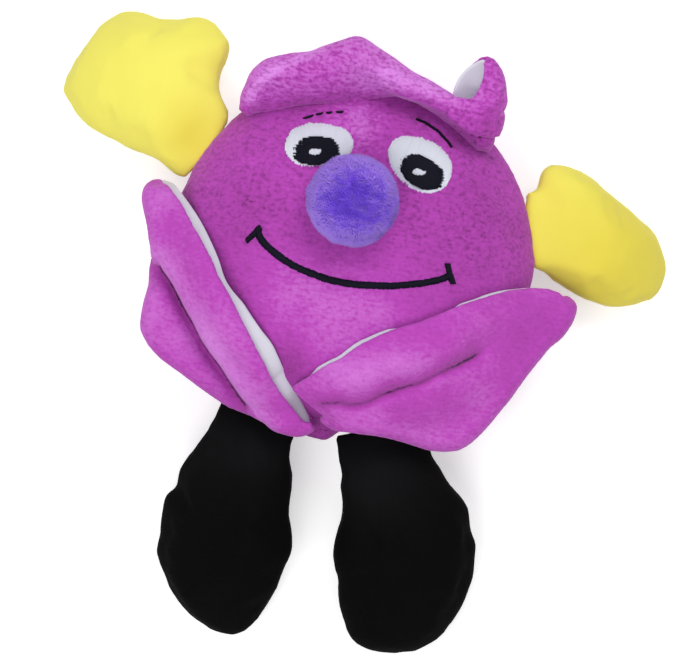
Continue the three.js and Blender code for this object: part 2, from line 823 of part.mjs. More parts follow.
function makeLimb(name, limb) {
  const { angle, rootDistance, length, width, thickness, middleShare, material } = limb;
  const turn = THREE.MathUtils.degToRad(angle);
  const sunk = thickness / 2 - restFlat;
  const hang = Math.asin((seamHeight - sunk) / (middleShare[0] * length));
  const distance = rootDistance + (limbSeamEdge + seamGap) * Math.sin(hang);
  const root = new THREE.Group();
  root.position.set(distance * Math.cos(turn), distance * Math.sin(turn), seamHeight);
  root.rotation.z = turn;
  const hanging = new THREE.Group();
  hanging.rotation.y = hang;
  root.add(hanging);
  root.updateMatrixWorld(true);

  const outline = limbOutline(limb.shares, length, width);
  const centre = new THREE.Vector2(middleShare[0] * length, middleShare[1] * width);
  const swell = thickness / 2 - seamGap / 2 - limbSeamEdge;
  const rootHeight = (x) => rootSlope * Math.max(x, 0);
  const mirrorOutline = outline.map((point) => new THREE.Vector2(point.x, -point.y)).toReversed();
  const mirrorCentre = new THREE.Vector2(centre.x, -centre.y);
  const front = panelForm(outline, centre, limbSeamEdge, swell, rootHeight);
  const back = turnedOver(panelForm(mirrorOutline, mirrorCentre, limbSeamEdge, swell, rootHeight));
  front.translate(0, 0, seamGap / 2);
  back.translate(0, 0, -seamGap / 2);
  const wad = wadForm(outline, centre, swell, rootHeight);
  addMesh(hanging, `${name}_front`, front, material);
  addMesh(hanging, `${name}_back`, cutAtFloor(solidOf(back), hanging.matrixWorld), material);
  addMesh(hanging, `${name}_stuffing`, wad, materials.stuffing);
  return root;
}

const leftHandShares = [
  [0, -0.25],
  [0.15, -0.35],
  [0.21, -0.5],
  [0.27, -0.62],
  [0.42, -0.655],
  [0.56, -0.58],
  [0.72, -0.48],
  [0.88, -0.42],
  [0.98, -0.26],
  [0.995, -0.05],
  [0.97, 0.16],
  [0.92, 0.265],
  [0.78, 0.31],
  [0.64, 0.33],
  [0.36, 0.29],
  [0.2, 0.255],
  [0, 0.25],
];
const rightHandShares = [
  [0, -0.28],
  [0.1, -0.32],
  [0.28, -0.455],
  [0.51, -0.555],
  [0.66, -0.575],
  [0.8, -0.56],
  [0.91, -0.51],
  [0.98, -0.4],
  [0.985, -0.27],
  [0.9, -0.09],
  [0.79, 0.03],
  [0.66, 0.15],
  [0.44, 0.345],
  [0.33, 0.4],
  [0.22, 0.43],
  [0.14, 0.4],
  [0.09, 0.33],
  [0, 0.27],
];
const leftLegShares = [
  [0, -0.28],
  [0.13, -0.27],
  [0.29, -0.295],
  [0.39, -0.31],
  [0.47, -0.275],
  [0.53, -0.3],
  [0.62, -0.26],
  [0.75, -0.19],
  [0.83, -0.11],
  [0.94, 0.14],
  [0.985, 0.3],
  [0.97, 0.53],
  [0.9, 0.63],
  [0.7, 0.685],
  [0.46, 0.645],
  [0.33, 0.52],
  [0.15, 0.395],
  [0, 0.29],
];
const rightLegShares = [
  [0, -0.3],
  [0.13, -0.34],
  [0.22, -0.355],
  [0.32, -0.42],
  [0.45, -0.48],
  [0.53, -0.465],
  [0.66, -0.48],
  [0.84, -0.455],
  [0.95, -0.34],
  [0.995, -0.12],
  [0.99, 0.03],
  [0.9, 0.22],
  [0.76, 0.37],
  [0.58, 0.48],
  [0.49, 0.515],
  [0.42, 0.49],
  [0.32, 0.475],
  [0.2, 0.4],
  [0.08, 0.33],
  [0, 0.32],
];

function handRoot(angle) {
  return bodyReach(angle) + seamGap;
}

function legRoot(angle) {
  return bodyReach(angle) + leafRootStandOff + 3 * seamGap;
}

function makeLimbs() {
  const group = new THREE.Group();
  const hand = { thickness: handThickness, material: materials.yellowPlush };
  const leg = { thickness: legThickness, material: materials.blackPlush, length: legLength, width: legWidth };
  group.add(
    makeLimb("left_hand", {
      ...hand,
      angle: leftHandAngle,
      rootDistance: handRoot(leftHandAngle),
      length: leftHandLength,
      width: leftHandWidth,
      middleShare: [0.56, -0.14],
      shares: leftHandShares,
    }),
    makeLimb("right_hand", {
      ...hand,
      angle: rightHandAngle,
      rootDistance: handRoot(rightHandAngle),
      length: rightHandLength,
      width: rightHandWidth,
      middleShare: [0.52, -0.12],
      shares: rightHandShares,
    }),
    makeLimb("left_leg", {
      ...leg,
      angle: leftLegAngle,
      rootDistance: legRoot(leftLegAngle),
      middleShare: [0.58, 0.18],
      shares: leftLegShares,
    }),
    makeLimb("right_leg", {
      ...leg,
      angle: rightLegAngle,
      rootDistance: legRoot(rightLegAngle),
      middleShare: [0.6, 0],
      shares: rightLegShares,
    }),
  );
  return group;
}

const toy = new THREE.Group();
toy.add(makeBody(), makeSqueaker(), makeNose(), makeFace(), makeLimbs());
toy.add(
  makeLeaf("left_leaf", lowerLeafSurface(leftLeafInnerShares, leftLeafOuterShares, leftFold)),
  makeLeaf("right_leaf", lowerLeafSurface(rightLeafInnerShares, rightLeafOuterShares, rightFold)),
  makeLeaf("crown_leaf", crownLeafSurface()),
);

export default toy;
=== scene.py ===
# %% [markdown]
# # A squeaky plush toy
# The toy is a round stuffed face with a pompom nose, stitched eyes and mouth, two hands, two legs and
# three folded leaves of plush with a white lining. A squeaker lies in the stuffing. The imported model
# gives every size, and its plain solids stay below as what moves and touches. This script dresses them
# in cloth: each piece gets its stuffed or folded shape first, then its pile, then its material.

# %% Frame
import math

import bmesh
import bpy
import numpy as np
from mathutils import Matrix, Vector, noise
from mathutils.bvhtree import BVHTree


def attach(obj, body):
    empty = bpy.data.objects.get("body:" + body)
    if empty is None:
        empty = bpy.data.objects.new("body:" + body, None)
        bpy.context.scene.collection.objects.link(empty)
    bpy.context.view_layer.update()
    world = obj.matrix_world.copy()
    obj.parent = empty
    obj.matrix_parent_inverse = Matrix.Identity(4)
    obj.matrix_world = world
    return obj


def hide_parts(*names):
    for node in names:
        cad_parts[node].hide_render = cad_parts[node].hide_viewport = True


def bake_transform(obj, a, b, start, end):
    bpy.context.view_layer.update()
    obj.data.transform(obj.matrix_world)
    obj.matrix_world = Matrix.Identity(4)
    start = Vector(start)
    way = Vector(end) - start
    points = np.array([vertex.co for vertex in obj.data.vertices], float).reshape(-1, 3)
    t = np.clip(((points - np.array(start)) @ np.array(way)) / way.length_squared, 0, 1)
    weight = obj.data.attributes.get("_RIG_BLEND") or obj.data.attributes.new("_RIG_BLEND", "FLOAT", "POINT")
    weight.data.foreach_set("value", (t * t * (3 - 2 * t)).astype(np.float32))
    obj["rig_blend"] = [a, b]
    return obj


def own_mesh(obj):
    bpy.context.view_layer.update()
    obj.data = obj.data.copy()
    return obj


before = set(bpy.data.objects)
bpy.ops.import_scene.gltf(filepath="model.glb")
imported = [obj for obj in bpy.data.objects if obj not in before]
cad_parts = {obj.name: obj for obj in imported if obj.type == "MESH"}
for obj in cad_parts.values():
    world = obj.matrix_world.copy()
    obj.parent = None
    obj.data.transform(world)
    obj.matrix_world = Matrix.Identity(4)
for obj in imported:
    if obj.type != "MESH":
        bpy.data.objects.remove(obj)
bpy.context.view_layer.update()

# %% [markdown]
# ## Helpers
# All shapes are worked out in millimetres, because that is how a sewing pattern is measured, and turned
# into metres only when a mesh is made. Each vertex could be moved by itself in a loop, but a plush skin
# has tens of thousands of them, so numpy moves them all at once.

# %% Meshes from points
MM = 0.001
# Cloth stays this many millimetres above the floor
FLOOR_GAP = 0.05


def put_in_scene(name, data):
    item = bpy.data.objects.new(name, data)
    bpy.context.scene.collection.objects.link(item)
    return item


def make_piece(name, points, faces=(), edges=()):
    mesh = bpy.data.meshes.new(name)
    mesh.from_pydata((np.asarray(points, float) * MM).tolist(), list(edges), [list(face) for face in faces])
    mesh.update()
    return put_in_scene(name, mesh)


def points_of(piece):
    flat = np.empty(len(piece.data.vertices) * 3)
    piece.data.vertices.foreach_get("co", flat)
    return flat.reshape(-1, 3) / MM


def move_points(piece, points):
    piece.data.vertices.foreach_set("co", (np.asarray(points) * MM).ravel())
    piece.data.update()


def set_down(piece, points):
    """Moves a piece's points, and keeps them just above the floor."""
    points[:, 2] = np.maximum(points[:, 2], FLOOR_GAP)
    move_points(piece, points)


def normals_of(piece):
    flat = np.empty(len(piece.data.vertices) * 3)
    piece.data.vertex_normals.foreach_get("vector", flat)
    return flat.reshape(-1, 3)


def baked(piece):
    """Turns a piece's modifiers into its plain mesh."""
    bpy.context.view_layer.update()
    depsgraph = bpy.context.evaluated_depsgraph_get()
    mesh = bpy.data.meshes.new_from_object(piece.evaluated_get(depsgraph), depsgraph=depsgraph)
    piece.modifiers.clear()
    old = piece.data
    piece.data = mesh
    bpy.data.meshes.remove(old)
    return piece


def smooth_shaded(piece):
    piece.data.polygons.foreach_set("use_smooth", [True] * len(piece.data.polygons))
    piece.data.update()
    return piece


def remeshed(piece, voxel, rounds=3):
    """Gives a closed piece one even weave of small faces, which also sews overlapping parts into one skin."""
    remesh = piece.modifiers.new("even weave", "REMESH")
    remesh.mode = "VOXEL"
    remesh.voxel_size = voxel * MM
    soften = piece.modifiers.new("soften", "SMOOTH")
    soften.factor = 0.5
    soften.iterations = rounds
    return baked(piece)


# %% Curves through points
def curve_through(points, count, closed=False):
    """A smooth curve through points, sampled at even steps."""
    points = np.asarray(points, float)
    if closed:
        before, after = points[-1:], points[:2]
    else:
        before, after = 2 * points[:1] - points[1:2], 2 * points[-1:] - points[-2:-1]
    padded = np.vstack([before, points, after])
    t = np.linspace(0, 1, 24, endpoint=False)[:, None]
    fine = []
    for i in range(len(padded) - 3):
        a, b, c, d = padded[i : i + 4]
        bent = (2 * a - 5 * b + 4 * c - d) * t**2 + (3 * b - a - 3 * c + d) * t**3
        fine.append(0.5 * (2 * b + (c - a) * t + bent))
    fine = np.vstack(fine + [padded[-2:-1]])
    return even_steps(fine, count)


def even_steps(line, count):
    steps = np.r_[0, np.cumsum(np.linalg.norm(np.diff(line, axis=0), axis=1))]
    at = np.linspace(0, steps[-1], count)
    return np.stack([np.interp(at, steps, line[:, k]) for k in range(line.shape[1])], axis=1)


def distance_to(line, points):
    """Distance of each point to a line, its side (+1 on the left), and where along the line it is nearest."""
    line = np.asarray(line, float)
    best = np.full(len(points), np.inf)
    side = np.ones(len(points))
    along = np.zeros(len(points))
    steps = np.r_[0, np.cumsum(np.linalg.norm(np.diff(line, axis=0), axis=1))]
    for i in range(len(line) - 1):
        a, b = line[i], line[i + 1]
        ab = b - a
        t = np.clip(((points - a) @ ab) / (ab @ ab), 0, 1)
        off = points - (a + t[:, None] * ab)
        length = np.hypot(off[:, 0], off[:, 1])
        near = length < best
        best[near] = length[near]
        cross = ab[0] * (points[:, 1] - a[1]) - ab[1] * (points[:, 0] - a[0])
        side[near] = np.where(cross[near] >= 0, 1, -1)
        along[near] = (steps[i] + t * np.linalg.norm(ab))[near] / steps[-1]
    return best, side, along


def smoothstep(low, high, value):
    t = np.clip((value - low) / (high - low), 0, 1)
    return t * t * (3 - 2 * t)


def bell(distance, width):
    """1 where the distance is 0, and almost 0 from twice the width on."""
    return np.exp(-((distance / width) ** 2))


# %% [markdown]
# ## How plush is made to look soft
# Real plush has three sizes of unevenness: the stuffing's lumps of 5 to 20 mm, the pile's tufts of about
# a millimetre, and the hairs, which are too fine to see from here. Lumps and tufts move the surface
# itself, so that the outline is soft as well. The hairs are left to the material's sheen. A panel filled
# with stuffing could be sculpted, but a cloth simulation with air pressure finds the same crowned form,
# with the pull along its seam.

# %% Soft lumps and pile
def noise_at(points, size, seed=0):
    """Smooth noise from about -1 to 1. Size is the width of one lump in millimetres, along x, y and z."""
    size = np.broadcast_to(np.asarray(size, float), 3)
    shift = Vector((seed * 17.3, seed * 5.1, seed * 9.7))
    return np.array([noise.noise(Vector(p) + shift) for p in (points / size).tolist()])


NAP_TURN = math.radians(11)


def along_nap(points):
    """Points turned so that x runs the way the pile was brushed."""
    c, s = math.cos(NAP_TURN), math.sin(NAP_TURN)
    x, y, z = points.T
    return np.stack([x * c + y * s, y * c - x * s, z], axis=1)


def give_pile(piece, depth, tuft=(1.5, 0.75, 0.9), seed=1):
    """Raises the surface into short brushed tufts."""
    points = points_of(piece)
    normals = normals_of(piece)
    turned = along_nap(points)
    rise = 0.65 * noise_at(turned, tuft, seed) + 0.35 * noise_at(turned, np.asarray(tuft) * 0.5, seed + 3)
    set_down(piece, points + normals * (depth * rise)[:, None])
    return smooth_shaded(piece)


def plump(piece, voxel, pressure, cap, seam=None, shrink=0.0, hold=None):
    """Fills a closed skin with stuffing: cloth is blown up a little, and pulled in where its seam is.

    It is simulated ten times as large, because cloth settings are made for garments. No point moves further
    than the cap, in millimetres, and what hold says stays where it is."""
    scale = 10
    frames = 20
    move_points(piece, points_of(piece) * scale)
    remeshed(piece, voxel * scale, 4)
    start = points_of(piece)
    cloth = piece.modifiers.new("stuffing", "CLOTH")
    settings = cloth.settings
    settings.quality = 5
    settings.mass = 0.3
    settings.tension_stiffness = 15
    settings.compression_stiffness = 15
    settings.shear_stiffness = 5
    settings.bending_stiffness = 0.5
    settings.use_pressure = True
    settings.uniform_pressure_force = pressure
    settings.effector_weights.gravity = 0
    if seam is not None:
        group = piece.vertex_groups.new(name="seam")
        for index, weight in enumerate(seam(start / scale).tolist()):
            if weight > 0.01:
                group.add([index], weight, "REPLACE")
        settings.vertex_group_shrink = "seam"
        settings.shrink_min = 0.0
        settings.shrink_max = shrink
    cloth.collision_settings.use_collision = False
    cloth.collision_settings.use_self_collision = False
    cloth.point_cache.frame_start = 1
    cloth.point_cache.frame_end = frames
    for step in range(1, frames + 1):
        bpy.context.scene.frame_set(step)
    baked(piece)
    bpy.context.scene.frame_set(1)
    moved = points_of(piece) - start
    length = np.linalg.norm(moved, axis=1)
    share = np.minimum(1, cap * scale / np.maximum(length, 1e-9))
    if hold is not None:
        share = share * (1 - hold(start / scale))
    set_down(piece, (start + moved * share[:, None]) / scale)
    piece.vertex_groups.clear()
    print(piece.name, "stuffed: moved up to", round(float((length * share).max() / scale), 2), "mm")
    return piece


def subdivided(piece, levels):
    subdivision = piece.modifiers.new("finer", "SUBSURF")
    subdivision.levels = levels
    subdivision.render_levels = levels
    return baked(piece)


def let_out(flat, middle, outline, bins=72):
    """Lets a stuffed skin out again until its edge is back on its pattern."""
    rel = flat[:, :2] - middle
    reach = np.hypot(rel[:, 0], rel[:, 1])
    angle = np.arctan2(rel[:, 1], rel[:, 0]) % (2 * math.pi)
    edge = np.asarray(outline) - middle
    edge_angle = np.arctan2(edge[:, 1], edge[:, 0])
    wanted = np.interp(angle, edge_angle, np.hypot(edge[:, 0], edge[:, 1]), period=2 * math.pi)
    centres = (np.arange(bins) + 0.5) * 2 * math.pi / bins
    slot = (angle / (2 * math.pi) * bins).astype(int) % bins
    share = reach / wanted
    widest = np.array([share[slot == k].max() if (slot == k).any() else 1.0 for k in range(bins)])
    widest = (np.roll(widest, 1) + 2 * widest + np.roll(widest, -1)) / 4
    factor = 1 / np.interp(angle, centres, widest, period=2 * math.pi)
    weight = smoothstep(0.35, 0.95, share * factor)
    moved = flat.copy()
    moved[:, :2] = middle + rel * (1 + (factor - 1) * weight)[:, None]
    return moved


# %% [markdown]
# ## Body
# The body is two round panels of plush, sewn at the seam and stuffed. A sphere squashed flat would be
# too even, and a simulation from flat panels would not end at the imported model's size. So the rings
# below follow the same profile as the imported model: a crowned face, a flatter back and a flat patch that
# rests on the floor. A short cloth simulation then stuffs the skin, so that it puckers along its seam,
# and its edge is let out again to its pattern. Between the legs the panels' edges are gathered into a
# small fold, which shows below the leaves.

# %% Body skin
HALF_WIDTH, HALF_HEIGHT = 56.5, 54.75
SEAM_HEIGHT = 21.0
FACE_SWELL, BACK_SWELL = 24.0, 20.35
SEAM_EDGE = 1.15
# The flat patch below lies this high
REST = 0.3


def pillow(share):
    """How far a stuffed panel swells, from 1 in its middle to 0 at its seam."""
    return np.maximum(0, 1 - np.abs(share) ** 2.4) ** 0.6


def body_share(x, y):
    """How far out a place lies, from 0 in the middle of the face to 1 at its seam."""
    return np.hypot(x / HALF_WIDTH, y / HALF_HEIGHT)


def face_height(x, y):
    return SEAM_HEIGHT + SEAM_EDGE + FACE_SWELL * pillow(body_share(x, y))


def ring_skin(name, rings):
    """A closed skin through rings of points, with a single point at each end."""
    count = len(rings[1])
    points = [rings[0][0]]
    for ring in rings[1:-1]:
        points.extend(ring)
    points.append(rings[-1][0])
    last = len(points) - 1
    at = lambda row, column: 1 + row * count + column % count
    rows = len(rings) - 2
    faces = [(0, at(0, k), at(0, k + 1)) for k in range(count)]
    for row in range(rows - 1):
        faces += [(at(row, k), at(row + 1, k), at(row + 1, k + 1), at(row, k + 1)) for k in range(count)]
    faces += [(last, at(rows - 1, k + 1), at(rows - 1, k)) for k in range(count)]
    return make_piece(name, points, faces)


def body_rings(count=120, steps=24, slack=0.6):
    turn = np.linspace(0, 2 * math.pi, count, endpoint=False)
    rings = [[(0, 0, SEAM_HEIGHT + SEAM_EDGE + FACE_SWELL - slack)]]
    shares = np.sin(np.linspace(0, math.pi / 2, steps + 1))[1:]
    face = [SEAM_HEIGHT + SEAM_EDGE + (FACE_SWELL - slack) * pillow(share) for share in shares]
    back = [SEAM_HEIGHT - SEAM_EDGE - (BACK_SWELL - slack) * pillow(share) for share in shares[::-1]]
    for share, height in zip([*shares, *shares[::-1]], face + [max(REST, height) for height in back]):
        x = (HALF_WIDTH - slack) * share * np.cos(turn)
        y = (HALF_HEIGHT - slack) * share * np.sin(turn)
        rings.append(np.stack([x, y, np.full(count, height)], axis=1))
    rings.append([(0, 0, REST)])
    return rings


body = ring_skin("body_cover", body_rings())
near_seam = lambda points: bell(points[:, 2] - SEAM_HEIGHT, 2.2)
plump(body, voxel=2.2, pressure=3.0, cap=1.6, seam=near_seam, shrink=0.12)
print("body skin:", len(body.data.vertices), "points")

# %% Soft lumps and the seam's groove
turn = np.linspace(0, 2 * math.pi, 180, endpoint=False)
seam_line = np.column_stack([HALF_WIDTH * np.cos(turn), HALF_HEIGHT * np.sin(turn)])
points = let_out(points_of(body), np.zeros(2), seam_line)
move_points(body, points)
lumps = 0.8 * noise_at(points, 17, 2) + 0.35 * noise_at(points, 7, 5)
x, y, z = points.T
groove = 0.8 * bell(z - SEAM_HEIGHT, 1.0) * smoothstep(0.9, 0.99, body_share(x, y))
points = points + normals_of(body) * (lumps * smoothstep(1.0, 6.0, z) - groove)[:, None]
x, y, z = points.T
between_legs = smoothstep(-14, -8, x) * smoothstep(8, 3, x) * bell(z - 20, 2.6)
gathered = between_legs * smoothstep(0.86, 1.0, body_share(x, y))
points[:, 1] -= 5.2 * gathered * (y < 0)
set_down(body, points)
subdivided(body, 1)
print("body skin:", len(body.data.vertices), "points, top at", round(points_of(body)[:, 2].max(), 2), "mm")


# %% What lies on the face
corners = [Vector(p) for p in points_of(body).tolist()]
face_tree = BVHTree.FromPolygons(corners, [list(face.vertices) for face in body.data.polygons])


def face_at(x, y):
    """Height and outward direction of the body's skin below a place."""
    hit, normal, _, _ = face_tree.ray_cast(Vector((x, y, 200)), Vector((0, 0, -1)))
    if hit is None:
        return 0.0, Vector((0, 0, 1))
    return hit.z, normal if normal.z > 0 else -normal


def skin_height(points):
    return np.array([face_at(x, y)[0] for x, y in np.asarray(points)[:, :2].tolist()])


print("the skin's height in the middle of the face:", round(face_at(0, 0)[0], 2), "mm")


# %% [markdown]
# ## Hands and legs
# Each limb is two panels sewn round their edge and stuffed, then sewn into the body's seam, so it is
# thin at its root and hangs until its thickest part rests. It could be sculpted, but its outline is what
# the eye knows it by: the pattern below is that outline, in millimetres from the limb's root, and
# stuffing gives the rest. A crease where the stuffing is thin is a groove with one steep side, as in the
# real cloth.

# %% Patterns of the limbs
# How much a limb's half thickness grows for each millimetre from its root, and half of its sewn edge
ROOT_SLOPE = 0.55
PANEL_EDGE = 0.75
LIMBS = {
    "left_hand": dict(
        angle=155.0, hang=20.26, root=(-51.481, 24.006), thickness=24.0, middle=(27.5, -7.0),
        creases=[],
        outline=[
            (-1, -12.3), (7.9, -17.9), (10.7, -24.1), (12.6, -30.1), (16.1, -32.1), (21.7, -32.8),
            (25.7, -31.7), (28.8, -28.9), (32.8, -25.9), (37.5, -23.8), (42.2, -22.8), (45.4, -21.1),
            (48.1, -18.4), (50.6, -13.1), (51.4, -7.7), (51.2, -2.2), (51.0, 3.6), (50.1, 8.2), (47.7, 12.6),
            (45.2, 13.1), (40.7, 15.4), (34.3, 16.5), (27.4, 15.5), (18.7, 14.4), (10.6, 12.8), (4.5, 12.8),
            (-1, 12.3),
        ],
    ),
    "right_hand": dict(
        angle=17.8, hang=27.18, root=(54.319, 17.44), thickness=24.0, middle=(21.0, -5.5),
        creases=[([(1.0, -12.4), (10.0, -16.5), (20.3, -21.8)], 0.7)],
        outline=[
            (-1, -12.7), (2.5, -13), (3.8, -15), (6.9, -17.7), (11.8, -21.2), (16.9, -23.7), (22.4, -25.9),
            (28.2, -26.6), (34.5, -26.2), (39.1, -24.7), (42.7, -18.3), (43.2, -13.6), (42.4, -8.8),
            (40.1, -4.4), (35, 1.3), (29.1, 7), (23.5, 12.2), (19.1, 16), (14.5, 18.5), (11.1, 19.9),
            (8, 19.9), (5.6, 18.7), (3.8, 15.7), (2.6, 12.6), (-1, 12.4),
        ],
    ),
    "left_leg": dict(
        angle=-108.4, hang=11.47, root=(-18.404, -55.325), thickness=28.0, middle=(38.0, 8.2),
        creases=[([(6.0, 0.5), (14.0, 4.5), (30.8, 13.9)], 1.0)],
        outline=[
            (-1, -12.6), (3, -12.7), (10.3, -12.3), (20.9, -13.4), (27.1, -14.1), (32.7, -12.2), (36, -13.7),
            (42.5, -11.8), (48.3, -8.9), (51.4, -8.2), (56.1, -5.2), (64.2, 6.4), (66.3, 13), (66.6, 19.9),
            (65.1, 24.6), (61.8, 28.4), (55.6, 30.7), (47.7, 31.1), (39.9, 30.2), (31.7, 29.3), (27.1, 26.5),
            (23.4, 23.4), (17.9, 20.8), (11.2, 17.8), (6.4, 14.5), (2.5, 12.9), (-1, 12.6),
        ],
    ),
    "right_leg": dict(
        angle=-69.7, hang=11.09, root=(20.239, -54.713), thickness=28.0, middle=(39.0, 0.0),
        creases=[([(10.0, -3.8), (30.0, -7.0), (56.0, -11.2)], 1.0)],
        outline=[
            (-3, -14.4), (0.8, -14.7), (7.5, -14.4), (12.6, -15.7), (17.5, -15.4), (23.8, -17.2),
            (29.2, -19.9), (37, -21.6), (41.2, -20.6), (49.5, -21.6), (57.8, -20.5), (62.4, -19.1),
            (66, -14.6), (67.6, -8.4), (68.2, -2), (67.5, 2.7), (63.6, 9.6), (56.5, 15.8), (49.8, 20.1),
            (42.8, 22.3), (37.2, 23.9), (33.7, 22.6), (26.1, 22.9), (19.6, 19.5), (11, 15.9), (6.9, 14.9),
            (-1, 13.8),
        ],
    ),
}


def limb_place(limb):
    root = Matrix.Translation((*limb["root"], SEAM_HEIGHT))
    angle = Matrix.Rotation(math.radians(limb["angle"]), 4, "Z")
    hang = Matrix.Rotation(math.radians(limb["hang"]), 4, "Y")
    return np.array(root @ (angle @ hang))


def placed(matrix, points):
    return points @ matrix[:3, :3].T + matrix[:3, 3]


def limb_rings(limb, count=110, steps=16, slack=0.5):
    outline = curve_through(limb["outline"], count)
    middle = np.array(limb["middle"])
    swell = limb["thickness"] / 2 - PANEL_EDGE - slack
    shares = np.sin(np.linspace(0, math.pi / 2, steps + 1))[1:]
    matrix = limb_place(limb)
    rings = [[placed(matrix, np.array([[*middle, PANEL_EDGE + swell]]))[0]]]
    for sign, order in ((1, shares), (-1, shares[::-1])):
        for share in order:
            at = middle + (outline - middle) * share * (1 - slack / 25)
            room = np.minimum(swell * pillow(share), 1.0 + ROOT_SLOPE * np.maximum(at[:, 0], 0))
            rings.append(placed(matrix, np.column_stack([at, sign * (PANEL_EDGE + room)])))
    rings.append([placed(matrix, np.array([[*middle, -PANEL_EDGE - swell]]))[0]])
    return rings


def make_limb(name):
    limb = LIMBS[name]
    rings = [np.maximum(np.asarray(ring), [-np.inf, -np.inf, REST]) for ring in limb_rings(limb)]
    piece = ring_skin(name + "_cover", rings[::-1])
    matrix = np.linalg.inv(limb_place(limb))
    local = lambda points: placed(matrix, points)
    seam = lambda points: bell(local(points)[:, 2], 1.8)
    root = lambda points: 1 - smoothstep(1.0, 9.0, local(points)[:, 0])
    plump(piece, voxel=1.8, pressure=4.0, cap=1.3, seam=seam, shrink=0.16, hold=root)
    flat = let_out(local(points_of(piece)), np.array(limb["middle"]), curve_through(limb["outline"], 200))
    points = placed(limb_place(limb), flat)
    set_down(piece, points)
    lumps = 0.55 * noise_at(points, 11, 7) + 0.3 * noise_at(points, 5, 9)
    lumps = lumps * smoothstep(1.0, 6.0, points[:, 2]) * smoothstep(3, 12, flat[:, 0])
    groove = bell(flat[:, 2], 0.8) * 0.5
    for line, depth in limb["creases"]:
        off, side, _ = distance_to(np.array(line), flat[:, :2])
        groove += depth * bell(off, np.where(side > 0, 1.2, 4.0)) * smoothstep(0, 3, flat[:, 2])
    set_down(piece, points + normals_of(piece) * (lumps - groove)[:, None])
    subdivided(piece, 1)
    print(name, len(piece.data.vertices), "points")
    return piece


limbs = {name: make_limb(name) for name in LIMBS}

# %% [markdown]
# ## Leaves
# Three leaves of plush with a white lining are caught in the body's seam and folded over the face. Each
# is a sheet that follows the face, with the lining a little longer, so that it shows as a white line
# along the free edge. A simulated cloth would not keep these folds, so each sheet is laid between its
# free edge and its folded outline.

# %% Sheets with rounded edges
def sheet_skin(name, grid, low, high, rim_steps=5):
    """A closed sheet of cloth round a grid of points, from low to high along its outward side."""
    rows, columns, _ = grid.shape
    du = np.gradient(grid, axis=0)
    dv = np.gradient(grid, axis=1)
    normal = np.cross(du, dv)
    normal /= np.maximum(np.linalg.norm(normal, axis=2, keepdims=True), 1e-9)
    if normal[rows // 2, : columns // 2, 2].mean() < 0:
        normal = -normal
    border = [(0, c) for c in range(columns)] + [(r, columns - 1) for r in range(1, rows)]
    border += [(rows - 1, c) for c in range(columns - 2, -1, -1)] + [(r, 0) for r in range(rows - 2, 0, -1)]
    middle, half = (low + high) / 2, (high - low) / 2
    top = (grid + normal * high).reshape(-1, 3)
    bottom = (grid + normal * low).reshape(-1, 3)
    index = lambda r, c: r * columns + c
    points = [*top, *bottom]
    count = len(top)
    out = []
    for r, c in border:
        tangent = np.zeros(3)
        if r in (0, rows - 1):
            tangent = tangent + (grid[r, c] - grid[1 if r == 0 else rows - 2, c])
        if c in (0, columns - 1):
            tangent = tangent + (grid[r, c] - grid[r, 1 if c == 0 else columns - 2])
        n = normal[r, c]
        tangent = tangent - n * (tangent @ n)
        out.append(tangent / max(np.linalg.norm(tangent), 1e-9))
    chains = []
    for (r, c), tangent in zip(border, out):
        n, centre = normal[r, c], grid[r, c] + normal[r, c] * middle
        chain = [index(r, c)]
        for step in range(1, rim_steps):
            turn = math.pi * step / rim_steps
            chain.append(len(points))
            points.append(centre + half * (math.cos(turn) * n + math.sin(turn) * tangent))
        chain.append(count + index(r, c))
        chains.append(chain)
    faces = []
    for r in range(rows - 1):
        for c in range(columns - 1):
            quad = (index(r, c), index(r + 1, c), index(r + 1, c + 1), index(r, c + 1))
            faces.append(quad)
            faces.append(tuple(count + i for i in quad[::-1]))
    for k, chain in enumerate(chains):
        after = chains[(k + 1) % len(chains)]
        for step in range(rim_steps):
            faces.append((chain[step], after[step], after[step + 1], chain[step + 1]))
    return make_piece(name, points, faces)


def facing_out(piece):
    """Turns every face outwards."""
    mesh = bmesh.new()
    mesh.from_mesh(piece.data)
    bmesh.ops.remove_doubles(mesh, verts=mesh.verts, dist=1e-7)
    bmesh.ops.recalc_face_normals(mesh, faces=mesh.faces)
    mesh.to_mesh(piece.data)
    mesh.free()
    return piece


# %% [markdown]
# ## Where a leaf lies
# A leaf follows the face as far as the face holds it up, and beyond that it falls away in a curve. Its
# height could come from a simulation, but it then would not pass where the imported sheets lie. So the
# course of the cloth is one height for each place, and every fold, roll and hollow is added to it.

# %% The cloth's course over the face and past the seam
# The face holds the cloth up to this share of its radius. The rest is in millimetres: the plush's thickness,
# the two sides of plush and lining off their course, how high the course runs above the skin, and how far
# out it stops falling.
LEAVES_SHARE = 0.86
CLOTH = 2.3
PLUSH_SIDES, LINING_SIDES = (0.15, CLOTH), (-1.3, -0.1)
LIFT, LEAST_LIFT = 2.4, 2.2
FALL_ENDS = 24


def cloth_height(points):
    """Height of the middle of a leaf: over the face it lies on the skin, and beyond it falls away."""
    x, y = points[:, 0], points[:, 1]
    share = body_share(x, y)
    edge = pillow(LEAVES_SHARE)
    slope = FACE_SWELL * (pillow(LEAVES_SHARE - 0.01) - edge) / (0.01 * HALF_WIDTH)
    beyond = np.minimum((share - LEAVES_SHARE) * HALF_WIDTH, FALL_ENDS)
    down = slope * beyond * (1 - beyond / (2 * FALL_ENDS))
    fallen = SEAM_HEIGHT + SEAM_EDGE + FACE_SWELL * edge + LIFT - down
    course = np.where(share <= LEAVES_SHARE, face_height(x, y) + LIFT, fallen)
    return np.maximum(course, skin_height(points) + LEAST_LIFT)


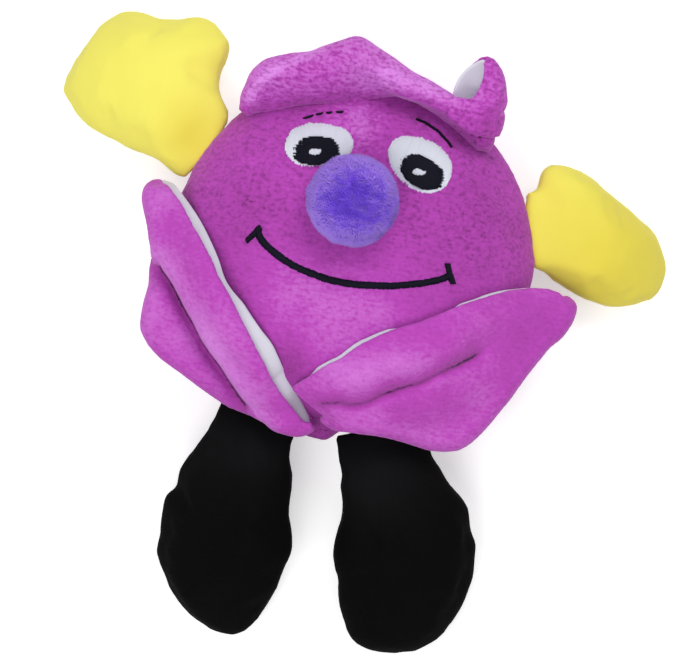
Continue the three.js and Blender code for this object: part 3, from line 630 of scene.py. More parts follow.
def folded_outline(inner, outer, along, across, radius):
    """Rows of places from the free edge to the folded outline, drawn in by the fold's radius."""
    edge = curve_through(inner, along)
    outline = curve_through(outer, along)
    tangent = np.gradient(outline, axis=0)
    tangent /= np.linalg.norm(tangent, axis=1, keepdims=True)
    out = np.stack([-tangent[:, 1], tangent[:, 0]], axis=1)
    out = out * np.sign(((outline - edge) * out).sum(1).mean())
    inset = outline - out * (radius + CLOTH)[:, None]
    width = np.linalg.norm(inset - edge, axis=1, keepdims=True)
    edge = edge + (inset - edge) / width * np.minimum(CLOTH / 2, width / 2)
    share = np.linspace(0, 1, across)[None, :, None]
    return edge[:, None, :] * (1 - share) + inset[:, None, :] * share, out


def along_leaf(table, u):
    """Reads a table of places along a leaf, from 0 to 1, and their values."""
    at, value = zip(*table)
    return np.interp(u, at, value)


def laid_leaf(inner, outer, radii, along, across):
    """A leaf's places, how far along it each lies, its fold's radius, and the fold's outward direction."""
    u = np.linspace(0, 1, along)
    radius = along_leaf(radii, u)
    flat, out = folded_outline(inner, outer, along, across, radius)
    return flat.reshape(-1, 2), np.repeat(u, across), radius, out


def folded_leaf(places, heights, radius, out, depth=5.0, fall=0.0, steps=7):
    """A leaf's upper side as a grid, and the whole, which turns round the outline and comes back below."""
    along = len(radius)
    top = np.dstack([places.reshape(along, -1, 2), heights.reshape(along, -1)])
    last, high = top[:, -1, :2], top[:, -1, 2]
    rows = [top]
    for turn in np.linspace(0, math.pi, steps + 1)[1:]:
        place = last + out * (radius * math.sin(turn))[:, None]
        rows.append(np.column_stack([place, high - radius * (1 - math.cos(turn))])[:, None, :])
    for share in (0.35, 0.7, 1.0):
        place = last - out * np.reshape(depth * share, (-1, 1))
        rows.append(np.column_stack([place, high - 2 * radius - fall * share])[:, None, :])
    return dict(top=top, whole=np.concatenate(rows, axis=1))


# %% Linings
def beyond_edge(inner, outer, along, reach):
    """Places past a leaf's free edge, as far from it as reach says."""
    rows = folded_outline(inner, outer, along, 2, np.zeros(along))[0]
    away = rows[:, 0] - rows[:, 1]
    away /= np.linalg.norm(away, axis=1, keepdims=True)
    return rows[:, 0] + away * reach


def lining_skin(name, grid, beyond, keep, drop):
    """The lining lies under the plush and reaches past its free edge, to the places given as beyond."""
    inside = grid[:, : int(keep * grid.shape[1])]
    edge = grid[:, 0]
    past = []
    for share in (1.0, 0.8, 0.6, 0.4, 0.2):
        place = edge[:, :2] * (1 - share) + beyond * share
        past.append(np.column_stack([place, edge[:, 2] - drop * share**1.5])[:, None, :])
    return sheet_skin(name, np.concatenate(past + [inside], axis=1), *LINING_SIDES)


# %% [markdown]
# ### Left leaf
# The left leaf is sewn in below, folded up over the face, and its free edge is rolled back on itself, so
# it reads as two lobes with a deep crease between them. A cut along the crease would give two pieces,
# but the real sheet is one, so its surface drops into the crease and rises steeply on the roll's side,
# where the pile throws a shadow.

# %% Left leaf
left_edge = [
    (-3.0, -54.4), (-7.0, -51.7), (-10.7, -48.6), (-14.5, -45.5), (-17.8, -41.5), (-21.1, -37.4),
    (-25.2, -32.5), (-29.0, -27.5), (-32.4, -23.1), (-35.4, -19.3), (-38.7, -15.2), (-42.3, -9.9),
    (-46.1, -4.9), (-50.5, -0.1), (-54.5, 4.5), (-59.1, 8.3), (-62.0, 10.6),
]
left_white_edge = [
    (-2.6, -53.7), (-4.7, -50.6), (-8.3, -46.5), (-12.3, -42.0), (-15.4, -37.5), (-18.9, -32.8),
    (-23.3, -28.8), (-27.4, -24.7), (-30.0, -22.0), (-34.3, -18.4), (-37.1, -15.2), (-40.0, -10.1),
    (-43.9, -4.5), (-48.7, 1.4), (-53.9, 6.6), (-57.9, 10.0), (-61.2, 11.0),
]
left_outline = [
    (-1.2, -56.9), (-4.9, -59.2), (-9.6, -59.4), (-13.8, -58.7), (-17.3, -56.8), (-21.3, -55.7),
    (-27.9, -54.5), (-32.0, -53.0), (-38.2, -50.2), (-45.2, -46.8), (-51.4, -43.9), (-55.1, -41.4),
    (-57.8, -38.8), (-60.0, -35.4), (-60.5, -31.4), (-60.5, -26.7), (-60.1, -21.9), (-60.7, -17.3),
    (-60.8, -13.5), (-61.3, -11.1), (-62.5, -8.1), (-64.0, -3.7), (-65.7, 0.1), (-67.0, 3.6), (-67.3, 6.7),
    (-66.7, 8.7), (-65.1, 10.3), (-63.0, 11.1),
]
left_crease = [
    (-76.0, -8.0), (-60.6, -13.1), (-57.8, -14.2), (-55.9, -16.3), (-53.1, -18.9), (-49.9, -22.7),
    (-46.9, -26.6), (-43.6, -30.4), (-40.3, -34.8), (-36.7, -38.5), (-32.9, -41.9), (-29.7, -45.3),
    (-26.5, -48.5), (-23.8, -51.1), (-21.2, -53.2), (-16.0, -58.5),
]
LEFT_RADII = [(0, 1.1), (0.06, 1.6), (0.2, 2.4), (0.9, 2.4), (1, 1.1)]
# At both ends a leaf lies this high above its course
LEAF_END = 0.5


def crease_side(crease, places, inner_place):
    """Distance from a crease, above 0 on the side of the inner place, and the direction in which it grows."""
    gap, side, run = distance_to(crease, places)
    own = distance_to(crease, np.array([inner_place]))[1][0]
    step = 0.05
    ahead = []
    for shift in ((step, 0), (0, step)):
        more = distance_to(crease, places + np.array(shift))
        less = distance_to(crease, places - np.array(shift))
        ahead.append((more[0] * more[1] - less[0] * less[1]) * own / (2 * step))
    return gap * side * own, np.column_stack(ahead), run


def make_left_leaf():
    places, where, radius, out = laid_leaf(left_edge, left_outline, LEFT_RADII, 180, 64)
    crease = curve_through(left_crease, 160)
    signed, grows, run = crease_side(crease, places, (-35, -25))
    to_edge = distance_to(curve_through(left_edge, 120), places)[0]
    strength = smoothstep(1.0, 0.82, run)
    fade = smoothstep(0, 0.1, where) * smoothstep(1.0, 0.93, where)
    share = np.clip(to_edge / np.maximum(to_edge + np.maximum(signed, 0), 1e-3), 0, 1)
    # From the crease's bottom the roll rises steeply to about 7 mm and the outer lobe gently to about 3
    bottom = -3.0
    roll = 1.0 + 6.0 * np.sin(math.pi * (0.1 + 0.76 * share)) ** 0.8
    outer = 0.6 + 2.2 * smoothstep(1.0, 9.0, -signed) * smoothstep(26, 12, -signed)
    steep = bottom + (roll - bottom) * smoothstep(1.7, 3.3, signed)
    gentle = bottom + (outer - bottom) * smoothstep(0.0, 5.5, -signed)
    creased = np.where(signed > 0, steep, gentle)
    plain = 1.0 + 1.8 * np.sin(math.pi * share)
    lift = LEAF_END + (creased * strength + plain * (1 - strength) - LEAF_END) * fade
    heights = cloth_height(places) + lift
    # The roll's side is pushed over the crease a little
    inside = distance_to(curve_through(left_outline, 160), places)[0]
    push = 0.7 * bell(signed - 3.0, 1.2) * strength * fade * smoothstep(2.0, 7.0, inside)
    return folded_leaf(places - grows * push[:, None], heights, radius, out)


left = make_left_leaf()
print("left leaf laid, up to", round(left["top"][..., 2].max(), 1), "mm high")

# %% [markdown]
# ### Right leaf
# The right leaf is a broad triangle that lies smoother. A shallow valley runs from its root to its
# corner, with a soft swell on each side, because the stuffing below holds it up on both.

# %% Right leaf
right_edge = [
    (-10.2, -43.2), (-7.8, -41.2), (-5.6, -39.4), (-2.9, -36.7), (-0.2, -34.6), (2.6, -32.7), (5.2, -30.0),
    (7.9, -27.3), (10.6, -25.2), (13.4, -23.1), (16.2, -21.3), (19.0, -19.8), (21.9, -18.3), (24.8, -16.8),
    (30.4, -13.1), (35.9, -9.2), (40.2, -6.8), (43.0, -5.0), (47.3, -2.9), (51.8, -1.4), (56.3, -0.2),
    (60.9, 0.4), (65.7, 0.0),
]
right_outline = [
    (0.8, -53.6), (5.2, -55.3), (8.5, -55.0), (13.2, -54.7), (17.9, -54.4), (22.6, -54.4), (27.4, -54.8),
    (32.3, -55.4), (35.5, -55.7), (38.6, -55.4), (41.6, -54.8), (44.6, -53.6), (47.3, -51.2), (49.8, -47.9),
    (52.2, -44.0), (54.5, -39.7), (56.8, -35.5), (59.0, -30.6), (61.3, -25.8), (63.6, -21.5), (65.9, -17.3),
    (68.5, -14.3), (69.9, -11.8), (71.4, -8.0), (71.9, -4.1), (71.2, -2.1), (68.6, -0.4),
]
right_crease = [
    (0.0, -47.5), (5.2, -46.1), (8.4, -46.2), (11.4, -45.3), (14.2, -43.8), (17.0, -41.6), (22.6, -38.3),
    (28.4, -35.3), (33.9, -31.1), (39.4, -27.2), (43.5, -23.8), (46.2, -19.9), (50.0, -15.0),
]
RIGHT_WHITE = [
    (0, 0.3), (0.05, 0.4), (0.1, 1.4), (0.25, 1.9), (0.38, 1.5), (0.45, 0.2), (0.58, 0.2), (0.64, 1.1),
    (0.9, 1.1), (0.96, 0.3), (1, 0.2),
]
RIGHT_RADII = [(0, 1.1), (0.08, 2.0), (0.3, 2.8), (0.9, 2.4), (1, 1.1)]


def make_right_leaf():
    places, where, radius, out = laid_leaf(right_edge, right_outline, RIGHT_RADII, 180, 70)
    crease = curve_through(right_crease, 160)
    signed, _, run = crease_side(crease, places, (10, -30))
    to_edge = distance_to(curve_through(right_edge, 120), places)[0]
    strength = smoothstep(0.0, 0.14, run) * smoothstep(1.0, 0.7, run)
    fade = smoothstep(0, 0.1, where) * smoothstep(1.0, 0.93, where)
    swell = 0.8 + 3.4 * smoothstep(0, 9, to_edge)
    valley = -3.0 * bell(signed, np.where(signed > 0, 3.2, 1.7)) + 0.9 * bell(signed - 6, 4)
    low = 1.9 * bell(signed + 7, 5)
    lift = LEAF_END + (swell + (valley + low) * strength - LEAF_END) * fade
    return folded_leaf(places, cloth_height(places) + lift, radius, out)


right = make_right_leaf()
print("right leaf laid, up to", round(right["top"][..., 2].max(), 1), "mm high")

# %% [markdown]
# ### Crown leaf
# The crown leaf is sewn in above the face and folded forward like a cap's brim. It has a turned-down
# hem, a ridge in its middle, where it is pinched to a peak, and a fold that runs down to its left
# corner.

# %% Crown leaf
crown_hem = [
    (-42.1, 36.6), (-37.9, 37.4), (-33.4, 38.9), (-29.0, 40.7), (-26.1, 41.9), (-21.7, 43.4), (-15.6, 44.9),
    (-11.2, 46.4), (-7.3, 47.2), (-3.0, 48.0), (0.7, 49.6), (5.1, 51.2), (8.9, 51.2), (11.7, 50.2),
    (15.1, 49.0), (18.5, 47.6), (22.5, 45.4), (26.6, 42.9), (31.0, 40.2), (34.4, 38.6),
]
crown_outline = [
    (-42.9, 37.2), (-43.1, 41.4), (-42.4, 44.7), (-41.6, 48.4), (-39.9, 51.2), (-37.8, 53.5), (-35.0, 55.0),
    (-30.6, 56.8), (-27.6, 57.7), (-24.6, 58.6), (-21.8, 60.4), (-17.5, 62.8), (-14.1, 64.7), (-11.8, 65.8),
    (-9.6, 65.9), (-7.6, 65.4), (-3.5, 63.6), (1.7, 61.5), (6.9, 59.0), (10.3, 57.8), (13.6, 56.9),
    (17.0, 55.6), (20.4, 54.3), (23.2, 53.0), (26.5, 52.2), (30.2, 52.4), (34.0, 52.6), (36.2, 51.0),
    (36.6, 47.4), (36.6, 44.2), (36.9, 41.2), (36.0, 39.0),
]
crown_left_fold = [(-40.0, 40.4), (-38.4, 45.2), (-34.9, 50.0), (-30.0, 53.8), (-25.8, 56.8), (-21.5, 60.0)]
crown_ridge = [(-9.4, 64.7), (-8.4, 52.9), (-7.8, 40.4)]
CROWN_HEM_LIFT = [
    (0, 1.8), (0.3, 2.0), (0.37, 1.2), (0.42, -1.6), (0.5, -1.6), (0.56, 0.0), (0.7, 0.5), (0.85, 1.2),
    (1, 1.8),
]
# The height to which the part folded under comes down, and how high the fold lies along the leaf
FOLD_RESTS = 24
CROWN_CREST = [
    (0, 33), (0.08, 37.5), (0.2, 41.5), (0.42, 45), (0.62, 42.5), (0.72, 41.0), (0.8, 41.5), (0.88, 42),
    (1, 33),
]
CROWN_RADII = [
    (0, 1.2), (0.08, 2.4), (0.16, 3.6), (0.3, 4.6), (0.6, 4.4), (0.7, 2.6), (0.76, 1.5), (0.86, 1.5),
    (0.9, 2.0), (1, 1.2),
]


def make_crown_leaf(along=190, across=44):
    places, where, radius, out = laid_leaf(crown_hem, crown_outline, CROWN_RADII, along, across)
    share = np.tile(np.linspace(0, 1, across), along)
    skin = skin_height(places)
    lift = along_leaf(CROWN_HEM_LIFT, where)
    edge = np.repeat(skin.reshape(along, across)[:, 0], across) + lift
    crest = along_leaf(CROWN_CREST, where)
    heights = edge + (crest - edge) * share**0.8 + 1.2 * np.sin(math.pi * share)
    heights = np.maximum(heights, skin + lift + (LEAST_LIFT - lift) * smoothstep(0, 0.3, share))
    # The fold to the left corner with lower cloth beside it, the peak's ridge, and a dimple
    inwards = smoothstep(0.05, 0.25, share)
    fold, side, _ = distance_to(np.array(crown_left_fold), places)
    lower = 2.2 * smoothstep(0.5, 6, fold * side) * smoothstep(0.45, 0.3, where)
    heights += (1.1 * bell(fold, 1.8) - lower) * inwards
    ridge = distance_to(np.array(crown_ridge), places)[0]
    heights += 1.0 * bell(ridge, 3.0) * inwards
    dimple = np.hypot((places[:, 0] + 33.6) / 1.6, places[:, 1] - 54.2)
    heights -= 2.4 * bell(dimple, 1.8)
    # The cloth is folded under as far as the seam leaves room
    outline = places.reshape(along, across, 2)[:, -1] + out * radius[:, None]
    turn = np.arctan2(outline[:, 1], outline[:, 0])
    seam = np.hypot(HALF_WIDTH * np.cos(turn), HALF_HEIGHT * np.sin(turn))
    depth = np.clip(np.hypot(outline[:, 0], outline[:, 1]) - seam - 2.0, 0.3, 8)
    above = heights.reshape(along, across)[:, -1] - 2 * radius - FOLD_RESTS
    return folded_leaf(places, heights, radius, out, depth, np.maximum(above, 0) * smoothstep(0.5, 4, depth))


crown = make_crown_leaf()
print("crown leaf laid, up to", round(crown["top"][..., 2].max(), 1), "mm high")

# %% [markdown]
# ### Ear
# The crown leaf's right end curls over and stands up as an ear, with the white lining on its hollow
# side. It bends both ways at once, so it isn't laid as a height over the face. Seven cross-sections give
# its curl, and curves through them give the sheet between.

# %% The ear at the crown leaf's right end
EAR_ROWS = [
    # From its root to its tip: left edge, dish, right outline, curl and curled edge, each as x, y, height
    [(19.5, 49.5, 37.0), (26.0, 47.5, 35.0), (36.2, 45.0, 36.0), (30.0, 44.0, 41.0), (22.0, 47.0, 41.0)],
    [(20.6, 53.0, 38.0), (27.0, 51.0, 35.5), (36.4, 49.5, 37.0), (31.0, 48.5, 42.5), (21.5, 52.4, 42.0)],
    [(20.9, 56.0, 39.0), (27.0, 55.5, 36.0), (36.0, 54.0, 38.5), (33.0, 53.0, 43.5), (27.8, 53.4, 43.0)],
    [(21.9, 59.2, 40.0), (27.5, 58.5, 37.5), (35.0, 57.8, 40.0), (33.2, 57.0, 44.0), (29.8, 57.0, 43.8)],
    [(24.0, 62.6, 41.0), (28.4, 61.6, 39.5), (33.8, 61.2, 41.5), (32.6, 60.8, 44.3), (30.4, 60.6, 44.2)],
    [(26.6, 64.9, 42.0), (29.2, 64.0, 41.4), (32.0, 63.7, 42.6), (31.4, 63.4, 44.4), (30.4, 63.3, 44.3)],
    [(28.2, 65.9, 42.8), (29.2, 65.6, 42.9), (30.3, 65.2, 43.3), (30.1, 65.1, 44.0), (29.6, 65.2, 44.0)],
]
rows = np.stack([curve_through(row, 40) for row in EAR_ROWS])
ear = np.stack([curve_through(rows[:, k], 44) for k in range(rows.shape[1])], axis=1)
print("ear laid, up to", round(ear[..., 2].max(), 1), "mm high")

# %% [markdown]
# ### Plush and lining together
# Every leaf is two layers: plush outside, woven lining inside. One sheet with two colours would be
# simpler, but the lining of the real leaf is a little longer, and the narrow white line that it leaves
# along the free edge is what makes the leaf read as lined. The plush is remeshed evenly, so that its
# pile has points to stand on.

# %% Sewn leaves
def together(name, *parts):
    """Joins meshes into one piece."""
    points, faces, count = [], [], 0
    for part in parts:
        points.append(points_of(part))
        faces += [[count + i for i in face.vertices] for face in part.data.polygons]
        count += len(part.data.vertices)
        bpy.data.objects.remove(part)
    return make_piece(name, np.vstack(points), faces)


left_leaf, right_leaf, crown_sheet = [
    facing_out(sheet_skin(name, leaf["whole"], *PLUSH_SIDES))
    for name, leaf in (("left_leaf_cloth", left), ("right_leaf_cloth", right), ("crown_sheet", crown))
]
ear_sheet = facing_out(sheet_skin("ear_sheet", ear[:, 5:], -2.2, -0.1))
crown_leaf = together("crown_leaf_cloth", crown_sheet, ear_sheet)
for piece in (left_leaf, right_leaf, crown_leaf):
    remeshed(piece, 0.6, 2)
    print(piece.name, len(piece.data.vertices), "points")

white_edge = curve_through(left_white_edge, 180)
left_lining = facing_out(lining_skin("left_leaf_white", left["top"], white_edge, keep=0.5, drop=1.6))
width = along_leaf(RIGHT_WHITE, np.linspace(0, 1, 180))[:, None]
white_edge = beyond_edge(right_edge, right_outline, 180, width)
right_lining = facing_out(lining_skin("right_leaf_white", right["top"], white_edge, keep=0.5, drop=0.8))
white_edge = beyond_edge(crown_hem, crown_outline, 190, -1.2)
crown_under = facing_out(lining_skin("crown_under", crown["top"][8:-8], white_edge[8:-8], keep=0.6, drop=0.6))
ear_inside = facing_out(sheet_skin("ear_inside", ear[:, 1:], 0.0, 1.0))
crown_lining = together("crown_leaf_white", crown_under, ear_inside)

# %% [markdown]
# ## Nose
# The nose is a disc of longer pile that is gathered into a ball and sewn on. It could be particle hair,
# but hair isn't in a mesh that is handed on. So the ball carries thousands of small three-sided tufts,
# which Geometry Nodes stand on it, combed this way and that by a broad noise. They make the soft rim
# that a smooth ball can't have.

# %% Nose ball
NOSE_X, NOSE_Y = -2.5, 14.8
NOSE_RADIUS, NOSE_HALF_HEIGHT = 13.0, 10.0
NOSE_SINKS = 0.6


def make_nose(count=150, steps=64):
    height, outward = face_at(NOSE_X, NOSE_Y)
    for a in np.linspace(0, 2 * math.pi, 9)[:-1]:
        outward = outward + face_at(NOSE_X + 5 * math.cos(a), NOSE_Y + 5 * math.sin(a))[1]
    outward = outward.normalized()
    turn = Vector((0, 0, 1)).rotation_difference(outward).to_matrix().to_4x4()
    centre = Vector((NOSE_X, NOSE_Y, height)) + outward * (NOSE_HALF_HEIGHT - NOSE_SINKS)
    place = np.array(Matrix.Translation(centre) @ turn)
    around = np.linspace(0, 2 * math.pi, count, endpoint=False)
    rings = [placed(place, np.array([[0, 0, -NOSE_HALF_HEIGHT]]))]
    for tilt in np.linspace(-math.pi / 2, math.pi / 2, steps + 1)[1:-1]:
        reach = NOSE_RADIUS * math.cos(tilt) ** 0.92
        level = np.full(count, NOSE_HALF_HEIGHT * math.sin(tilt))
        rings.append(placed(place, np.column_stack([reach * np.cos(around), reach * np.sin(around), level])))
    rings.append(placed(place, np.array([[0, 0, NOSE_HALF_HEIGHT]])))
    return ring_skin("nose_pompom", rings)


nose = facing_out(make_nose())
points = points_of(nose)
move_points(nose, points + normals_of(nose) * (0.5 * noise_at(points, 5, 3))[:, None])
print("nose", len(nose.data.vertices), "points")

# %% [markdown]
# ## Embroidery
# The eyes and the mouth are satin stitch: short threads laid side by side, which raise the shape a
# little and catch the light. The brows are thin lines, the left one a running stitch that dips through
# the pile. A painted patch would look flat from the side. Each thread is one line on the skin, and
# Geometry Nodes turn all lines into round thread.

# %% Threads on the skin
def inside_spans(outline, offset, along):
    """Where a line across an outline runs inside it."""
    across = np.array([-along[1], along[0]])
    s, t = outline @ along, outline @ across
    hits = []
    for i in range(len(outline)):
        j = (i + 1) % len(outline)
        if (t[i] - offset) * (t[j] - offset) < 0:
            hits.append(s[i] + (s[j] - s[i]) * (offset - t[i]) / (t[j] - t[i]))
    hits.sort()
    return [(a * along + offset * across, b * along + offset * across) for a, b in zip(hits[::2], hits[1::2])]


def thread_line(start, end, lift, rise, random):
    """A thread from start to end, laid on the skin, dipped into it at its ends and raised in its middle."""
    step, dip, uneven = 0.9, 0.45, 0.06
    count = max(4, int(np.linalg.norm(end - start) / step))
    share = np.linspace(0, 1, count + 1)
    place = start + (end - start) * share[:, None]
    bulge = np.sin(math.pi * share) ** 0.5
    height = skin_height(place) + lift - dip + (rise + dip) * bulge + uneven * random.standard_normal()
    return np.column_stack([place, height])


def satin_fill(outline, turn, spacing, lift, rise, seed, jitter=0.18):
    """Threads side by side inside an outline, all in one direction."""
    random = np.random.default_rng(seed)
    outline = curve_through(outline, 120, closed=True)
    along = np.array([math.cos(turn), math.sin(turn)])
    across = outline @ np.array([-along[1], along[0]])
    shortest = 0.6
    lines = []
    for offset in np.arange(across.min() + spacing * 0.4, across.max(), spacing):
        for start, end in inside_spans(outline, offset, along):
            if np.linalg.norm(end - start) > shortest:
                first, last = random.uniform(-jitter, jitter, 2)
                lines.append(thread_line(start + along * first, end + along * last, lift, rise, random))
    return lines


def satin_column(path, width, lift, rise, seed, spacing=0.34, slant=0.25, jitter=0.12):
    """Threads laid across a path, from one width at its start to another at its end."""
    random = np.random.default_rng(seed)
    fine = curve_through(path, 400)
    length = np.linalg.norm(np.diff(fine, axis=0), axis=1).sum()
    path = even_steps(fine, max(3, int(length / spacing)))
    tangent = np.gradient(path, axis=0)
    tangent /= np.linalg.norm(tangent, axis=1, keepdims=True)
    lines = []
    for k, (place, along) in enumerate(zip(path, tangent)):
        share = k / (len(path) - 1)
        half = (width[0] * (1 - share) + width[1] * share) / 2
        across = np.array([-along[1], along[0]]) + slant * along
        reach = half + random.uniform(-jitter, jitter, 2)
        lines.append(thread_line(place - across * reach[0], place + across * reach[1], lift, rise, random))
    return lines


def running_stitch(path, dashes, lift):
    """Short threads that dip into the pile between their shares of a path."""
    fine = curve_through(path, 400)
    dip, bulge = 0.6, 0.8 * np.sin(math.pi * np.linspace(0, 1, 7)) ** 0.5
    lines = []
    for start, end in dashes:
        part = even_steps(fine[int(start * 399) : int(end * 399) + 1], len(bulge))
        lines.append(np.column_stack([part, skin_height(part) + lift - dip + bulge]))
    return lines


# %% Node helper
def add_node(tree, kind, inputs=None, **settings):
    """Adds a node, sets its settings, and sets or links its inputs."""
    node = tree.nodes.new(kind)
    for key, value in settings.items():
        setattr(node, key, value)
    for key, value in (inputs or {}).items():
        if isinstance(value, bpy.types.NodeSocket):
            tree.links.new(value, node.inputs[key])
        else:
            node.inputs[key].default_value = value
    return node


def geometry_tree(name, sizes):
    """A Geometry Nodes tree with a geometry, named sizes and a material as its inputs."""
    tree = bpy.data.node_groups.new(name, "GeometryNodeTree")
    tree.interface.new_socket("Geometry", in_out="INPUT", socket_type="NodeSocketGeometry")
    for label, kind, value in sizes:
        socket = tree.interface.new_socket(label, in_out="INPUT", socket_type=kind)
        socket.default_value = value
    tree.interface.new_socket("Material", in_out="INPUT", socket_type="NodeSocketMaterial")
    tree.interface.new_socket("Geometry", in_out="OUTPUT", socket_type="NodeSocketGeometry")
    return tree, add_node(tree, "NodeGroupInput").outputs


def grown(piece, tree, **values):
    """Runs a tree on a piece, with its named inputs, and keeps the result as its plain mesh."""
    modifier = piece.modifiers.new(tree.name, "NODES")
    modifier.node_group = tree
    for item in tree.interface.items_tree:
        key = item.name.lower().replace(" ", "_")
        if item.in_out == "INPUT" and key in values:
            modifier[item.identifier] = values[key]
    return baked(piece)


# %% Threads as a tree
def thread_tree():
    tree, given = geometry_tree(
        "round threads", [("Thread Radius", "NodeSocketFloat", 0.0003), ("Sides", "NodeSocketInt", 5)]
    )
    lines = add_node(tree, "GeometryNodeMeshToCurve", {"Mesh": given["Geometry"]})
    ring = add_node(
        tree, "GeometryNodeCurvePrimitiveCircle",
        {"Radius": given["Thread Radius"], "Resolution": given["Sides"]},
    )
    thread = add_node(
        tree, "GeometryNodeCurveToMesh",
        {"Curve": lines.outputs[0], "Profile Curve": ring.outputs[0], "Fill Caps": True},
    )
    real = add_node(tree, "GeometryNodeRealizeInstances", {"Geometry": thread.outputs[0]})
    smooth = add_node(tree, "GeometryNodeSetShadeSmooth", {"Geometry": real.outputs[0]})
    finish = add_node(
        tree, "GeometryNodeSetMaterial", {"Geometry": smooth.outputs[0], "Material": given["Material"]}
    )
    add_node(tree, "NodeGroupOutput", {"Geometry": finish.outputs[0]})
    return tree


THREADS = thread_tree()


def stitches(name, lines, radius, material):
    points = np.vstack(lines)
    edges, start = [], 0
    for line in lines:
        edges += [(start + k, start + k + 1) for k in range(len(line) - 1)]
        start += len(line)
    piece = make_piece(name, points, edges=edges)
    grown(piece, THREADS, thread_radius=radius * MM, sides=5, material=material)
    print(name, len(lines), "threads", len(piece.data.polygons), "faces")
    return piece


# %% Tufts as a tree
def tuft_tree():
    tree, given = geometry_tree(
        "standing tufts",
        [("Density", "NodeSocketFloat", 8e6), ("Length", "NodeSocketFloat", 0.002),
         ("Radius", "NodeSocketFloat", 0.0002), ("Tilt", "NodeSocketFloat", 0.5),
         ("Seed", "NodeSocketInt", 7)],
    )
    spots = add_node(
        tree, "GeometryNodeDistributePointsOnFaces",
        {"Mesh": given["Geometry"], "Density": given["Density"], "Seed": given["Seed"]},
        distribute_method="RANDOM",
    )
    low, high = [
        add_node(tree, "ShaderNodeVectorMath", {0: (x, x, x), "Scale": given["Tilt"]}, operation="SCALE")
        for x in (-1.0, 1.0)
    ]
    stray = add_node(
        tree, "FunctionNodeRandomValue", {0: low.outputs[0], 1: high.outputs[0], "Seed": given["Seed"]},
        data_type="FLOAT_VECTOR",
    )
    # Locks about 4 mm wide are combed one way
    combed = add_node(tree, "ShaderNodeTexNoise", {"Scale": 260.0, "Detail": 1.0})
    combed = add_node(
        tree, "ShaderNodeVectorMath", {0: combed.outputs["Color"], 1: (1.6, 1.6, 1.6), 2: (-0.8, -0.8, -0.8)},
        operation="MULTIPLY_ADD",
    )
    lean = spots.outputs["Normal"]
    for bent in (stray, combed):
        sum_of = add_node(tree, "ShaderNodeVectorMath", {0: lean, 1: bent.outputs[0]}, operation="ADD")
        lean = sum_of.outputs[0]
    turn = add_node(tree, "FunctionNodeAlignRotationToVector", {"Vector": lean}, axis="Z")
    tuft = add_node(
        tree, "GeometryNodeMeshCone",
        {"Vertices": 3, "Radius Top": 0.0, "Radius Bottom": given["Radius"], "Depth": given["Length"]},
    )
    place = add_node(tree, "GeometryNodeInputPosition")
    height = add_node(tree, "ShaderNodeSeparateXYZ", {0: place.outputs[0]})
    up = add_node(tree, "ShaderNodeMath", {0: height.outputs["Z"], 1: given["Length"]}, operation="DIVIDE")
    tuft = add_node(
        tree, "GeometryNodeStoreNamedAttribute",
        {"Geometry": tuft.outputs["Mesh"], "Name": "tip", "Value": up.outputs[0]},
    )
    size = add_node(
        tree, "FunctionNodeRandomValue", {2: 0.55, 3: 1.1, "Seed": given["Seed"]}, data_type="FLOAT"
    )
    stand = add_node(
        tree, "GeometryNodeInstanceOnPoints",
        {"Points": spots.outputs["Points"], "Instance": tuft.outputs["Geometry"],
         "Rotation": turn.outputs[0], "Scale": size.outputs[1]},
    )
    real = add_node(tree, "GeometryNodeRealizeInstances", {"Geometry": stand.outputs[0]})
    smooth = add_node(tree, "GeometryNodeSetShadeSmooth", {"Geometry": real.outputs[0]})
    both = add_node(tree, "GeometryNodeJoinGeometry")
    tree.links.new(smooth.outputs[0], both.inputs[0])
    tree.links.new(given["Geometry"], both.inputs[0])
    finish = add_node(
        tree, "GeometryNodeSetMaterial", {"Geometry": both.outputs[0], "Material": given["Material"]}
    )
    add_node(tree, "NodeGroupOutput", {"Geometry": finish.outputs[0]})
    return tree


TUFTS = tuft_tree()

# %% [markdown]
# ## Finishes
# All that shows is textile, and all of it differs by how its fibres lie. Brushed pile shows its paler
# tips where it lies towards the light and its deep ground where it stands open or is crushed in a fold,
# so every plush here has four colours: the gap between tufts, the deep tone, the usual tone and the pale
# tips. The gap's colour and the deep tone also serve as painted shade, and the pale tips as painted light.
# A single colour with a bump would look like felt. Two noises give the tufts, one drawn out along the
# brushed direction and one round, and two values kept on the mesh say where the colour is painted paler
# or deeper, mostly as painted light and shade, and where the pile stands open. Hairs are about 0.02 mm
# thick, far too fine to show here, so sheen stands for them, and the tufts are drawn about 1 mm long
# instead. How glossy each one is starts from usual values. A pile scatters all light (roughness 0.9),
# satin thread keeps a soft gleam (0.5), vinyl a blurred one (0.4) and film a clear one (0.15), and the
# gaps between tufts are rougher than their smooth backs. Polyester bends light by 1.57, rayon by 1.52
# and vinyl by 1.54.

# %% Colours
# Sizes in millimetres of a soft patch, a brushed row and a round tuft: a noise's scale is one over its size
PATCH, TUFT_ROW, TUFT_DOT = 13.333, 0.95238, 1.25


def hex_colour(code):
    """An sRGB hex colour as the linear values that Blender works in."""
    channels = [int(code[i : i + 2], 16) / 255 for i in (1, 3, 5)]
    return (*[c / 12.92 if c <= 0.04045 else ((c + 0.055) / 1.055) ** 2.4 for c in channels], 1.0)


def new_material(name):
    material = bpy.data.materials.new(name)
    material.use_nodes = True
    material.node_tree.nodes.clear()
    return material, material.node_tree


